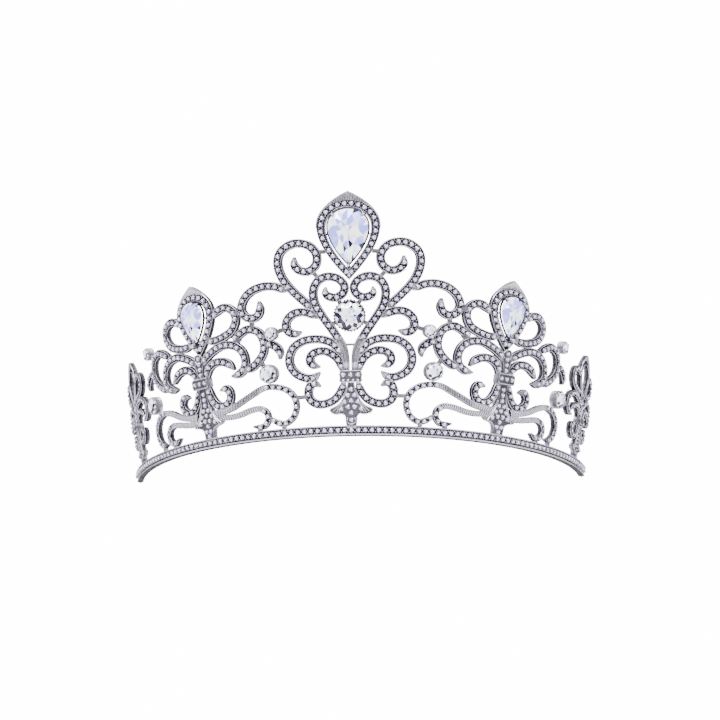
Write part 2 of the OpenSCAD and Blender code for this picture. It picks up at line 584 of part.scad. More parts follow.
wing_barbs();
arms([ring_arm, rear_ring_arm], -1);  // left_ring_arms
arms([ring_arm, rear_ring_arm], 1);  // right_ring_arms
arms([front_arm, rear_arm], -1);  // left_band_arms
arms([front_arm, rear_arm], 1);  // right_band_arms
side_pave(-1);  // left_side_pave
side_pave(1);  // right_side_pave
connector_collets();
connector_gems();
bridges();
rear_frames();
rear_scrolls([loop]);  // rear_loops
rear_scrolls([petal, curl, lower_curl]);
rear_stems();
rear_pave();
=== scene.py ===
# %% [markdown]
# # A bridal tiara in silver and crystal
# The tiara is costume jewellery: narrow channels of silver-coloured metal are bent into scrolls, small round
# stones are set in the channels, and the scrolls are soldered into a crest on a flat band. The stones in the
# heart, the crest and the side motifs are larger, and claws or collets hold them.
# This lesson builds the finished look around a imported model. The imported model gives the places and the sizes,
# and each visible piece here stands in for one of its nodes.

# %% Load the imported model
import math
import random

import bmesh
import bpy
import numpy as np
from mathutils import Matrix, Quaternion, Vector


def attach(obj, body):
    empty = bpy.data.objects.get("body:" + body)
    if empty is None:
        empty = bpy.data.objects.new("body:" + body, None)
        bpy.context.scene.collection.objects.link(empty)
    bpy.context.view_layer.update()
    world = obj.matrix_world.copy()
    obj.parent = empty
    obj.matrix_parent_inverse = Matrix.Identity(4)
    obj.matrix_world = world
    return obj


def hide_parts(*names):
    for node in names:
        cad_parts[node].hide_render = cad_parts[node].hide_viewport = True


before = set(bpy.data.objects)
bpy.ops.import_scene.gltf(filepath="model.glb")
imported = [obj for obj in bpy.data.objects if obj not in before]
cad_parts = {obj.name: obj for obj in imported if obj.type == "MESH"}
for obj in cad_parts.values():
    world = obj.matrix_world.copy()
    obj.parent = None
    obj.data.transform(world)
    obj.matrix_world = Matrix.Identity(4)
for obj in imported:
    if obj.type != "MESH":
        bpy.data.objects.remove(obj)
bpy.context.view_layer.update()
BODY = "root"
SILVER, CRYSTAL = "silver_metal", "crystal"
MM = 0.001
SIDES = ((-1, "left"), (1, "right"))


def piece(name, data):
    """A mesh, a light or a camera as an object of the scene."""
    data.name = name
    made = bpy.data.objects.new(name, data)
    bpy.context.scene.collection.objects.link(made)
    return made


def mesh_of(name, work):
    """The result of work on a bmesh, as a mesh."""
    mesh = bpy.data.meshes.new(name)
    work.to_mesh(mesh)
    work.free()
    return mesh


# %% [markdown]
# ## The camera
# The tiara is seen from a little below, with its front turned very slightly to one side, as on a high stand.
# A long lens keeps the scrolls at the sides from shrinking too much. The lens is shifted up by a few
# hundredths, which leaves the object a little below the middle of the picture.

# %% Camera
AIM = Vector((0, 0, 35 * MM))
AZIMUTH, ELEVATION, DISTANCE = math.radians(2.18), math.radians(-15.3), 0.6
back = Vector((math.sin(AZIMUTH) * math.cos(ELEVATION), -math.cos(AZIMUTH) * math.cos(ELEVATION),
               math.sin(ELEVATION)))
camera_data = bpy.data.cameras.new("camera")
camera = piece("camera", camera_data)
bpy.context.scene.camera = camera
camera.location = AIM + back * DISTANCE
camera.rotation_mode = "QUATERNION"
roll = Quaternion((0, 0, 1), math.radians(-0.33))
camera.rotation_quaternion = (-back).to_track_quat("-Z", "Y") @ roll
camera_data.lens = 91.34
camera_data.sensor_width = 36
camera_data.shift_x, camera_data.shift_y = -0.0012, 0.0319
camera_data.clip_start, camera_data.clip_end = 0.01, 20
print("camera at", [round(v, 3) for v in camera.location])

# %% [markdown]
# ## Sums on sockets
# Both the materials and the Geometry Nodes need sums. Writing them as Python expressions is easier to read
# than making and linking a Math node for each step. `Field` wraps a socket and turns `a * b + c` into Math
# nodes, and `Graph.add` makes any other node from its type, its settings and its inputs.

# %% Fields and graphs
class Field:
    """An output socket that can be used in sums."""

    def __init__(self, graph, socket):
        self.graph, self.socket = graph, socket

    def sum_of(self, operation, *terms):
        return self.graph.add("ShaderNodeMath", {"operation": operation}, dict(enumerate(terms)))

    def __add__(self, other):
        return self.sum_of("ADD", self, other)

    def __radd__(self, other):
        return self.sum_of("ADD", other, self)

    def __sub__(self, other):
        return self.sum_of("SUBTRACT", self, other)

    def __rsub__(self, other):
        return self.sum_of("SUBTRACT", other, self)

    def __mul__(self, other):
        return self.sum_of("MULTIPLY", self, other)

    def __rmul__(self, other):
        return self.sum_of("MULTIPLY", other, self)

    def __truediv__(self, other):
        return self.sum_of("DIVIDE", self, other)

    def __rtruediv__(self, other):
        return self.sum_of("DIVIDE", other, self)

    def most(self, other):
        return self.sum_of("MAXIMUM", self, other)

    def least(self, other):
        return self.sum_of("MINIMUM", self, other)

    def rounded(self):
        return self.sum_of("ROUND", self)


class Graph:
    """Makes nodes in a tree. The result of add() is the node's first enabled output, as a Field."""

    def __init__(self, tree):
        self.tree = tree

    def node(self, kind, settings=None, inputs=None):
        made = self.tree.nodes.new(kind)
        for name, value in (settings or {}).items():
            setattr(made, name, value)
        for key, value in (inputs or {}).items():
            self.give(self.socket_of(made, key), value)
        return made

    def socket_of(self, made, key):
        if isinstance(key, int):
            return made.inputs[key]
        return next(s for s in made.inputs if s.enabled and key in (s.identifier, s.name))

    def give(self, socket, value):
        if isinstance(value, Field):
            self.tree.links.new(value.socket, socket)
        elif value is not None:
            socket.default_value = value

    def add(self, kind, settings=None, inputs=None, output=None):
        made = self.node(kind, settings, inputs)
        outputs = [s for s in made.outputs if s.enabled]
        return Field(self, outputs[0] if output is None else next(s for s in outputs if s.name == output))

    def vector(self, operation, a, b):
        socket = "Scale" if operation == "SCALE" else 1
        return self.add("ShaderNodeVectorMath", {"operation": operation}, {0: a, socket: b})


# %% [markdown]
# ## The flared shell
# All the scrollwork is drawn flat, as [arc along the band, height] in millimetres, and is laid on a surface
# that leans outwards, more at the front than at the ends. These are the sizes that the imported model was
# designed with. `skin` takes a drawing point to its place, and `directions` gives the way along the band and
# the way out of the surface there.

# %% Shell
HEAD_R, CREST_H, SIDE_H, BAND_H, BAND_T = 70.0, 67.0, 47.0, 2.7, 2.0
FRONT_FLARE, END_FLARE = 17, 8
FRONT_LEAN, END_LEAN = math.tan(math.radians(FRONT_FLARE)), math.tan(math.radians(END_FLARE))
METAL_T, RIBBON_W, ARM_W = 1.6, 2.6, 1.8
STONE_D, STONE_PITCH = 1.5, 1.95
SIDE_AXIS, UPPER_AXIS, REAR_AXIS, REAR_SCALE = 43.7, 42.8, 84.4, 0.74
BAND_REACH = 98.0


def skin(p):
    """Places on the shell, in millimetres, of points [arc, height]."""
    p = np.asarray(p, float)
    turn = p[..., 0] / HEAD_R
    r = HEAD_R + p[..., 1] * (FRONT_LEAN + (END_LEAN - FRONT_LEAN) * np.sin(turn) ** 2)
    return np.stack([r * np.sin(turn), -r * np.cos(turn), p[..., 1]], -1)


def unit(v):
    return v / np.linalg.norm(v, axis=-1, keepdims=True)


def directions(p):
    """The unit vectors along the band and out of the shell."""
    p, step = np.asarray(p, float), 0.01
    across = unit(skin(p + [step, 0]) - skin(p - [step, 0]))
    return across, unit(np.cross(across, skin(p + [0, step]) - skin(p - [0, step])))


def smooth(points, spacing=0.45):
    """A smooth curve through the points of a drawing."""
    p = np.asarray(points, float)
    p = np.vstack([p[:1], p, p[-1:]])
    line = []
    for a, b, c, d in zip(p, p[1:], p[2:], p[3:]):
        for t in np.arange(0, 1, 1 / max(2, math.ceil(np.linalg.norm(c - b) / spacing))):
            line.append(0.5 * (2 * b + (c - a) * t + (2 * a - 5 * b + 4 * c - d) * t**2
                               + (3 * b - a - 3 * c + d) * t**3))
    return np.array(line + [p[-1]])


def placed(points, side, axis=0.0, size=1.0, flip=1):
    """A drawing moved to its motif: side is -1 or 1, and flip mirrors it about the motif's own axis."""
    p = np.asarray(points, float)
    return np.stack([side * (axis + flip * size * p[:, 0]), BAND_H + size * (p[:, 1] - BAND_H)], -1)


def lengths_along(places):
    return np.concatenate([[0], np.cumsum(np.linalg.norm(np.diff(places, axis=0), axis=1))])


print("top of the shell's front:", np.round(skin([0, CREST_H]), 1))

# %% [markdown]
# ## The drawings
# Each scroll is a short list of points that a jeweller could plot on squared paper. Beside each one stand the
# lengths at its root and at its tip that hold no stones.

# %% Drawings of the centre motif
CENTRE = {
    "upper_scroll": ([[9.4, 35.4], [10.5, 36.8], [12.4, 38.9], [14.5, 41.5], [16.2, 44.5], [17, 48],
                      [16.4, 51], [14.4, 52.9], [11.9, 53.5], [9.1, 52.5], [7.5, 50], [7.8, 47.2],
                      [9.7, 45.6], [11.7, 46], [12.9, 47.6], [12.8, 49.8]], 1.4, 2.0),
    "heart_scroll": ([[1.0, 17.9], [1.25, 21.5], [1.85, 24.4], [3.2, 27.2], [4.9, 30.1], [6.8, 33.2],
                      [8.3, 36.2], [8.8, 39.2], [8.3, 41.6], [6.9, 43.3], [4.8, 43.9], [2.5, 43.1],
                      [1.2, 41.3], [1.5, 39.3], [3.2, 38.1], [5, 38.5], [5.8, 39.6],
                      [5.6, 41.1]], 10.4, 1.6),
    "outer_arm": ([[15, 40.8], [16.6, 41.5], [18.6, 42.4], [21.3, 42.7], [24.3, 42], [26.7, 40.2],
                   [27.9, 37.6], [27.2, 35.4], [25.4, 34.4], [23.6, 34.9], [22.7, 36.6],
                   [22.8, 38.9]], 1.9, 2.0),
    "mid_hook": ([[7.8, 32.7], [9.5, 33.9], [11.6, 34.6], [13.8, 34.4], [15.6, 33], [16.2, 31.1],
                  [15.6, 29.5], [14.1, 28.8], [12.2, 29.3]], 2.4, 1.9),
    "fleur_petal": ([[2.4, 22.4], [3.2, 24.3], [4.6, 25.7], [6.8, 26.7], [9.4, 27], [12.2, 26.6],
                     [14.6, 25.1], [15.9, 22.7], [15.9, 20.2], [14.6, 18], [12.3, 16.6], [10, 16.4],
                     [8, 17.9]], 1.5, 2.6),
    "fleur_curl": ([[2.2, 17.9], [2.8, 20.4], [4.1, 22.2], [6.3, 23.5], [8.6, 23.5], [10.2, 22.5],
                    [10.5, 20.9], [9.6, 19.8], [7.9, 19.3]], 1.5, 2.1),
    "lower_petal": ([[1.8, 15.1], [2.7, 12.4], [4.4, 10.3], [6.8, 9.2], [9.2, 9.2], [11, 10.4],
                     [11.5, 12.3], [11, 14.1], [9.7, 14.8], [8, 13.9]], 1.5, 2.1),
}
# Width at the root, and the length over which a scroll widens from it
ROOTS = {"heart_scroll": (1.7, 9.0), "fleur_petal": (1.2, 3.0), "fleur_curl": (1.2, 3.0),
         "lower_petal": (1.2, 3.0), "upper_scroll": (1.2, 1.8), "outer_arm": (0.8, 2.4),
         "mid_hook": (0.8, 2.4)}
print(len(CENTRE), "scrolls on each side of the centre motif")

# %% Drawings of a side motif, about its own axis
MOTIF = {
    "loop": ([[-2.9, 30.6], [-5.4, 30.1], [-8.3, 30.6], [-11.2, 31.9], [-12.8, 34.4], [-12.5, 37],
              [-10.5, 38.6], [-8.2, 38.4], [-6.2, 36.6]], 2.0, 1.2),
    "petal": ([[-1.2, 24.4], [-3, 26], [-5.4, 27.3], [-8.6, 28.3], [-12, 27.8], [-14.4, 25.9],
               [-15.2, 23.2], [-14.5, 20.9], [-12.7, 19.6], [-10.4, 19.3]], 1.6, 2.6),
    "curl": ([[-2, 20.1], [-2.9, 22.4], [-5, 23.8], [-7.6, 23.9], [-10, 22.8], [-11.5, 21]], 1.4, 2.2),
    "lower_curl": ([[-1.8, 17.6], [-2.7, 14.2], [-4.5, 11.9], [-6.9, 11.4], [-8.8, 12.8], [-9.1, 14.9],
                    [-7.9, 16.2], [-6, 15.9]], 1.4, 2.0),
    "wing": ([[-12.2, 29.2], [-14.3, 30.5], [-16.5, 31.5], [-18.4, 31.2], [-20.1, 30], [-21, 27.6],
              [-20.8, 24.9], [-19.3, 22.7], [-17.1, 21], [-14.1, 20]], 1.2, 2.4),
    "barb": ([[-21.3, 26.9], [-23.2, 26.5], [-24.7, 25.3], [-25.3, 23.8], [-25, 22.2]], 1.5, 1.9),
}
ARMS = {
    "ring_arm": ([[41.7, 10], [38, 9.9], [34.5, 10.5], [31, 11.9], [27.8, 13.3], [24.4, 14.7], [21, 14.8],
                  [17.6, 13.7], [15.5, 11.4], [15.1, 8.6], [16.3, 5.9], [18.7, 4.4], [21.2, 5],
                  [22.7, 6.4]], 20.5, 1.2),
    "front_arm": ([[41.2, 8.5], [38, 8.2], [35, 8], [32, 8.3], [29, 9], [26, 9.2], [23.9, 7.9],
                   [23.7, 5.8], [25.3, 4.2], [28.4, 4.5]], 17.5, 2.4),
    "rear_ring_arm": ([[47.1, 10], [50.5, 9.9], [54.5, 11], [58.5, 12.9], [62.4, 13.8], [65.9, 12.7],
                       [67.7, 10], [67.4, 6.8], [65.6, 4.8], [63.4, 4.7]], 16.5, 1.6),
    "rear_arm": ([[47.6, 8.5], [51, 8.1], [54.5, 8.7], [58.4, 9.4], [60.9, 8.4], [61.6, 6.4], [60.4, 4.5],
                  [58.4, 4.2], [56.4, 5.2]], 13.5, 2.2),
}
# Arc, height and diameter of the round stones that join the motifs
LINKS = [[20.2, 29.5, 3.2], [22, 18.5, 4.8], [66.2, 32.9, 3.2], [67.2, 17.3, 4.8]]
print(len(MOTIF), "drawings in a side motif and", len(ARMS), "arms")

# %% [markdown]
# ## Rails
# A rail is the centre line of a strip of metal, as a chain of points. Each point carries what a sweep needs:
# the way across the strip, the way out of its face, half the strip's width, and how far the channel is open.
# A rail also carries the bare lengths at its two ends, so that stones can be spread on the stretch between.

# %% Rails
TAPER, POINT_W = 3.0, 0.5
SINK, SINK_FROM, SINK_OVER = 0.22, 2.2, 0.9
OPEN_BEFORE, OPEN_OVER, ARM_ENDS = 0.9, 0.7, (0.3, 0.9)


def rail(path, root, width, lead=TAPER, bare=(0.0, 0.0), channel_to_ends=False, sink=0.0):
    """A strip on the shell. It widens from its root over the lead, and narrows to its tip."""
    centre = skin(path)
    ahead = unit(np.gradient(centre, axis=0))
    face = directions(path)[1]
    run = lengths_along(centre)
    widened = root + (width - root) * np.sin(np.pi / 2 * np.minimum(1, run / lead))
    narrowed = POINT_W + (width - POINT_W) * np.sin(np.pi / 2 * np.minimum(1, (run[-1] - run) / TAPER))
    ends = ARM_ENDS if channel_to_ends else bare
    into = (np.clip((run - ends[0] + OPEN_BEFORE) / OPEN_OVER, 0, 1)
            * np.clip((run[-1] - ends[1] + OPEN_BEFORE - run) / OPEN_OVER, 0, 1))
    sunk = SINK * np.clip((SINK_FROM - run) / SINK_OVER, 0, 1) + sink
    return {"centre": centre, "side": unit(np.cross(face, ahead)), "face": face, "closed": False,
            "half": np.minimum(widened, narrowed) / 2, "open": into, "tip": np.zeros(len(run)), "sunk": sunk,
            "bare": bare, "size": 1.0, "run": run}


def scroll(drawing, side, axis=0.0, size=1.0, flip=1, root=RIBBON_W, width=RIBBON_W, lead=TAPER, **more):
    points, bare_root, bare_tip = drawing
    made = rail(smooth(placed(points, side, axis, size, flip)), root, width, lead,
                (bare_root * size, bare_tip * size), **more)
    made["size"] = size
    return made


def store(mesh, key, values):
    """Writes a number or a vector for each point of a mesh."""
    flat = np.asarray(values, np.float32)
    kind, field = ("FLOAT_VECTOR", "vector") if flat.ndim == 2 else ("FLOAT", "value")
    mesh.attributes.new(key, kind, "POINT").data.foreach_set(field, flat.ravel())


def rails_object(name, rails):
    """A mesh of chains of points, with what the rails carry as attributes."""
    places, edges = [], []
    values = {k: [] for k in ("side", "face", "half", "open", "tip", "sunk", "from", "to", "size")}
    for r in rails:
        n, start = len(r["centre"]), len(places)
        places += [tuple(p) for p in r["centre"] * MM]
        edges += [(start + i, start + i + 1) for i in range(n - 1)]
        if r["closed"]:
            edges.append((start + n - 1, start))
        values["side"].append(r["side"])
        values["face"].append(r["face"])
        for key in ("half", "open", "tip", "sunk"):
            values[key].append(r.get(key, np.zeros(n)) * (1 if key == "open" else MM))
        values["from"].append(np.full(n, r["bare"][0] * MM))
        values["to"].append(np.full(n, r["bare"][1] * MM))
        values["size"].append(np.full(n, r["size"]))
    mesh = bpy.data.meshes.new(name)
    mesh.from_pydata(places, edges, [])
    for key, parts in values.items():
        store(mesh, key, np.concatenate(parts))
    store(mesh, "centre", places)
    return piece(name, mesh)


# %% [markdown]
# ## Materials
# The metal is a bright silver plating over small castings. It is almost a mirror on the rims that fingers
# and polish reach, and it is dark in the channels, where tarnish stays. Painted shade also darkens the channels,
# the walls and the sides that face away from the front, where shadow falls. A point attribute says how deep in a
# channel a point lies, or how far it is turned away, which sets both, and fine noise breaks up its edge.

# %% Silver
def new_material(name):
    made = bpy.data.materials.new(name)
    made.use_nodes = True
    graph = Graph(made.node_tree)
    shader = made.node_tree.nodes["Principled BSDF"]
    return made, graph, shader


def silver_material(name, bright, dark, polish, wear):
    """Plated metal: bright on the rims, dark with tarnish and painted shade in the recesses and on the walls."""
    made, graph, shader = new_material(name)
    place = graph.add("ShaderNodeTexCoord", output="Object")
    grain = graph.add("ShaderNodeTexNoise", {"noise_dimensions": "3D"},
                      {"Vector": place, "Scale": 900.0, "Detail": 4.0, "Roughness": 0.6}, "Fac")
    cloud = graph.add("ShaderNodeTexNoise", {"noise_dimensions": "3D"},
                      {"Vector": place, "Scale": 120.0, "Detail": 2.0}, "Fac")
    depth = graph.add("ShaderNodeAttribute", {"attribute_name": "recess"}, output="Fac")
    # Mix of tarnish and painted shade: the dark colour stands in for the shadow in recesses and on walls, as well
    # as for tarnish
    tarnish_and_shade = (depth * (0.75 + 0.5 * grain) + (cloud - 0.5) * wear).least(1.0).most(0.0)
    colour = graph.add("ShaderNodeMix", {"data_type": "RGBA"},
                       {"Factor": tarnish_and_shade, "A": (*bright, 1), "B": (*dark, 1)}, "Result")
    graph.give(shader.inputs["Base Color"], colour)
    graph.give(shader.inputs["Roughness"], polish + 0.12 * grain + 0.3 * tarnish_and_shade)
    shader.inputs["Metallic"].default_value = 0.92
    bump = graph.add("ShaderNodeBump", None, {"Height": grain, "Strength": 0.12, "Distance": 0.00006})
    graph.give(shader.inputs["Normal"], bump)
    return made


# The second colour is the painted shade and tarnish colour
silver = silver_material("bright silver", (0.86, 0.84, 0.95), (0.016, 0.014, 0.024), 0.20, 0.10)
grain_silver = silver_material("silver grains", (0.58, 0.56, 0.65), (0.07, 0.06, 0.09), 0.22, 0.16)
print("metal:", silver.name, "and", grain_silver.name)

# %% [markdown]
# ### Stones
# The small stones have a mirror coating on their backs. Their flashes of white, lavender and grey from facet to
# facet are painted reflections: each facet takes a colour instead of mirroring or showing what is behind it. Each
# facet has its own number, `facet`, and each stone its own, `tone`. The two choose a colour from a short ramp.
# The large stones are painted in the same way, with a ramp that has more blue in it. Part of the colour glows
# from the stone as a painted glint, in place of the sparkle.

# %% Crystal
def painted_facet_material(name, stops, metal, coat, painted_glint, unevenness):
    """A mirror-backed stone, whose facets take painted reflections from a ramp, and glow with them as a painted
    glint.
    """
    made, graph, shader = new_material(name)
    facet = graph.add("ShaderNodeAttribute", {"attribute_name": "facet"}, output="Fac")
    tone = graph.add("ShaderNodeAttribute", {"attribute_name": "tone"}, output="Fac")
    place = graph.add("ShaderNodeTexCoord", output="Object")
    cloud = graph.add("ShaderNodeTexNoise", None, {"Vector": place, "Scale": 700.0, "Detail": 2.0}, "Fac")
    mixed = facet + tone * 0.12 + (cloud - 0.5) * unevenness + 0.02
    ramp = graph.node("ShaderNodeValToRGB", None, {0: mixed.sum_of("FRACT", mixed)})
    for i, (where, colour) in enumerate(stops):
        stop = ramp.color_ramp.elements[i] if i < 2 else ramp.color_ramp.elements.new(where)
        stop.position, stop.color = where, (*colour, 1)
    graph.give(shader.inputs["Base Color"], Field(graph, ramp.outputs["Color"]))
    # Painted glint: the stone glows with its facets' colours
    graph.give(shader.inputs["Emission Color"], Field(graph, ramp.outputs["Color"]))
    shader.inputs["Emission Strength"].default_value = painted_glint
    shader.inputs["Metallic"].default_value = metal
    shader.inputs["Roughness"].default_value = 0.08
    shader.inputs["Coat Weight"].default_value = coat
    shader.inputs["Coat Roughness"].default_value = 0.02
    return made


# Ramp stops for the painted reflections: white and lavender flashes, grey and dark facets
SMALL_STOPS = [(0.0, (0.95, 0.95, 1.0)), (1.0, (0.95, 0.95, 1.0)), (0.22, (0.90, 0.90, 1.0)),
               (0.36, (0.42, 0.40, 0.54)), (0.52, (0.06, 0.05, 0.085)), (0.68, (0.09, 0.08, 0.12)),
               (0.80, (0.55, 0.54, 0.68)), (0.90, (0.95, 0.95, 1.0))]
LARGE_STOPS = [(0.0, (0.95, 0.97, 1.0)), (1.0, (0.93, 0.95, 1.0)), (0.12, (0.93, 0.95, 1.0)),
               (0.20, (0.26, 0.29, 0.80)), (0.27, (0.30, 0.33, 0.82)), (0.36, (0.58, 0.62, 0.95)),
               (0.44, (0.95, 0.96, 1.0)), (0.52, (0.20, 0.20, 0.36)), (0.58, (0.012, 0.01, 0.025)),
               (0.70, (0.012, 0.01, 0.025)), (0.78, (0.42, 0.43, 0.66)), (0.88, (0.97, 0.97, 1.0))]
pave_crystal = painted_facet_material("pave crystal", SMALL_STOPS, 0.6, 0.6, 2.3, 0.16)
backed_crystal = painted_facet_material("backed crystal", LARGE_STOPS, 0.4, 0.35, 2.4, 0.05)
print("stones:", pave_crystal.name, backed_crystal.name)

# %% [markdown]
# ## Sweeping a section along rails
# Every scroll is one strip with one section, so a Geometry Nodes tree sweeps the section along the rails.
# The section is a closed chain of points that carries `across` and `rise`, which run from one side to the
# other and from the back to the face. After the sweep, each point is set from these and from what the rails
# carry, so that the metal keeps its thickness where it narrows.

# %% Helpers for node trees and finished pieces
def new_tree(name, inputs):
    """An empty Geometry Nodes tree with a geometry input, named inputs and a geometry output."""
    tree = bpy.data.node_groups.new(name, "GeometryNodeTree")
    tree.interface.new_socket("Geometry", in_out="INPUT", socket_type="NodeSocketGeometry")
    for label, kind in inputs:
        tree.interface.new_socket(label, in_out="INPUT", socket_type="NodeSocket" + kind)
    tree.interface.new_socket("Geometry", in_out="OUTPUT", socket_type="NodeSocketGeometry")
    graph = Graph(tree)
    entry, leave = graph.node("NodeGroupInput"), graph.node("NodeGroupOutput")
    return graph, {s.name: Field(graph, s) for s in entry.outputs if s.name}, leave


def named(graph, name, kind="FLOAT"):
    return graph.add("GeometryNodeInputNamedAttribute", {"data_type": kind}, {"Name": name}, "Attribute")


def grown(source, tree, values, name):
    """Runs a tree on an object, and returns the result as a new plain piece."""
    modifier = source.modifiers.new("grow", "NODES")
    modifier.node_group = tree
    sockets = {s.name: s.identifier for s in tree.interface.items_tree
               if s.item_type == "SOCKET" and s.in_out == "INPUT"}
    for label, value in values.items():
        modifier[sockets[label]] = value
    evaluated = source.evaluated_get(bpy.context.evaluated_depsgraph_get())
    mesh = bpy.data.meshes.new_from_object(evaluated)
    source.modifiers.remove(modifier)
    bpy.data.objects.remove(source)
    return piece(name, mesh)


def outwards(made, angle=None):
    """Turns every face of the closed shells outwards. An angle shades the piece smooth below it."""
    work = bmesh.new()
    work.from_mesh(made.data)
    bmesh.ops.remove_doubles(work, verts=work.verts, dist=1e-7)
    bmesh.ops.recalc_face_normals(work, faces=work.faces)
    work.to_mesh(made.data)
    work.free()
    made.data.polygons.foreach_set("use_smooth", [angle is not None] * len(made.data.polygons))
    if angle is not None:
        made.data.set_sharp_from_angle(angle=math.radians(angle))
    return made


def seat(made, finish, *nodes):
    """Gives a finished piece its body, and hides the nodes that it stands for."""
    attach(made, BODY)
    if nodes:
        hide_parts(*nodes)
    return made


# %% The sweeping tree
def sweeping_tree():
    graph, given, leave = new_tree("sweep a section", [("Section", "Object"), ("Thickness", "Float"),
                                                       ("Metal", "Material")])
    line = graph.add("GeometryNodeMeshToCurve", None, {"Mesh": given["Geometry"]})
    shape = graph.add("GeometryNodeObjectInfo", None, {"Object": given["Section"]}, "Geometry")
    outline = graph.add("GeometryNodeMeshToCurve", None, {"Mesh": shape})
    swept = graph.add("GeometryNodeCurveToMesh", None,
                      {"Curve": line, "Profile Curve": outline, "Fill Caps": True})
    closing = named(graph, "dip") * (1 - named(graph, "open"))
    reach = named(graph, "across") * named(graph, "half") + named(graph, "edge") * named(graph, "tip")
    sideways = graph.vector("SCALE", named(graph, "side", "FLOAT_VECTOR"), reach)
    forwards = graph.vector("SCALE", named(graph, "face", "FLOAT_VECTOR"),
                            (named(graph, "rise") + closing) * given["Thickness"]
                            - named(graph, "sunk") * named(graph, "high"))
    beside = graph.vector("ADD", named(graph, "centre", "FLOAT_VECTOR"), sideways)
    place = graph.vector("ADD", beside, forwards)
    shaped = graph.add("GeometryNodeSetPosition", None, {"Geometry": swept, "Position": place})
    # Where a channel is closed its groove fills up, and the painted shade and tarnish of the groove go with it
    filled = (named(graph, "dip") * 3.0).least(1.0) * (1 - named(graph, "open"))
    shade_and_tarnish_stored = graph.add("GeometryNodeStoreNamedAttribute", {"data_type": "FLOAT", "domain": "POINT"},
                     {"Geometry": shaped, "Name": "recess", "Value": named(graph, "recess") * (1 - filled)})
    done = graph.add("GeometryNodeSetMaterial", None, {"Geometry": shade_and_tarnish_stored, "Material": given["Metal"]})
    graph.give(leave.inputs[0], done)
    return graph.tree


def section_object(name, corners):
    """A closed chain of [across, rise, dip, painted shade and tarnish]. Its outer side is the one where across is
    1.
    """
    mesh = bpy.data.meshes.new(name)
    n = len(corners)
    mesh.from_pydata([(c[0], c[1], 0) for c in corners], [(i, (i + 1) % n) for i in range(n)], [])
    columns = {"across": [c[0] for c in corners], "rise": [c[1] for c in corners],
               "dip": [c[2] for c in corners], "recess": [c[3] for c in corners],
               "edge": [float(c[0] > 0.85) for c in corners], "high": [float(c[1] > 0.5) for c in corners]}
    for key, values in columns.items():
        store(mesh, key, values)
    return piece(name, mesh)


sweep_tree = sweeping_tree()
# The last number at each corner is painted shade and tarnish: full in the groove and on the outer walls, where
# shadow falls, none on the rims
channel = section_object("channel", [
    (-0.94, 0, 0, 0.25), (0.94, 0, 0, 0.25), (1, 0.08, 0, 0.8), (1, 0.78, 0, 1), (0.985, 0.90, 0, 0.95),
    (0.93, 0.97, 0, 0.25), (0.86, 1, 0, 0), (0.79, 0.975, 0, 0), (0.735, 0.88, 0, 0.5),
    (0.70, 0.70, 0.24, 1), (0.60, 0.66, 0.33, 1), (0.45, 0.66, 0.33, 1), (0.36, 0.66, 0.16, 1),
    (0.27, 0.66, 0.33, 1), (-0.27, 0.66, 0.33, 1), (-0.36, 0.66, 0.16, 1), (-0.45, 0.66, 0.33, 1),
    (-0.60, 0.66, 0.33, 1), (-0.70, 0.70, 0.24, 1),
    (-0.735, 0.88, 0, 0.5), (-0.79, 0.975, 0, 0), (-0.86, 1, 0, 0), (-0.93, 0.97, 0, 0.25),
    (-0.985, 0.90, 0, 0.95), (-1, 0.78, 0, 1), (-1, 0.08, 0, 0.8)])


def swept_piece(name, rails, *nodes, section=channel, thickness=METAL_T):
    made = grown(rails_object(name, rails), sweep_tree,
                 {"Section": section, "Thickness": thickness * MM, "Metal": silver}, name)
    return seat(outwards(made, 62), SILVER, *nodes)


print("sweeping tree:", len(sweep_tree.nodes), "nodes")

# %% [markdown]
# ## Spreading stones and grains
# A row of stones follows its channel at an even pitch. The second tree trims each rail by its bare lengths,
# resamples it to a whole number of steps, and puts a copy of one item on each point. The item stands on the
# face of the strip, turned along it. Grains use the same tree, half a step further on, so that they fall
# between the stones. A third, shorter tree sets single stones on points.

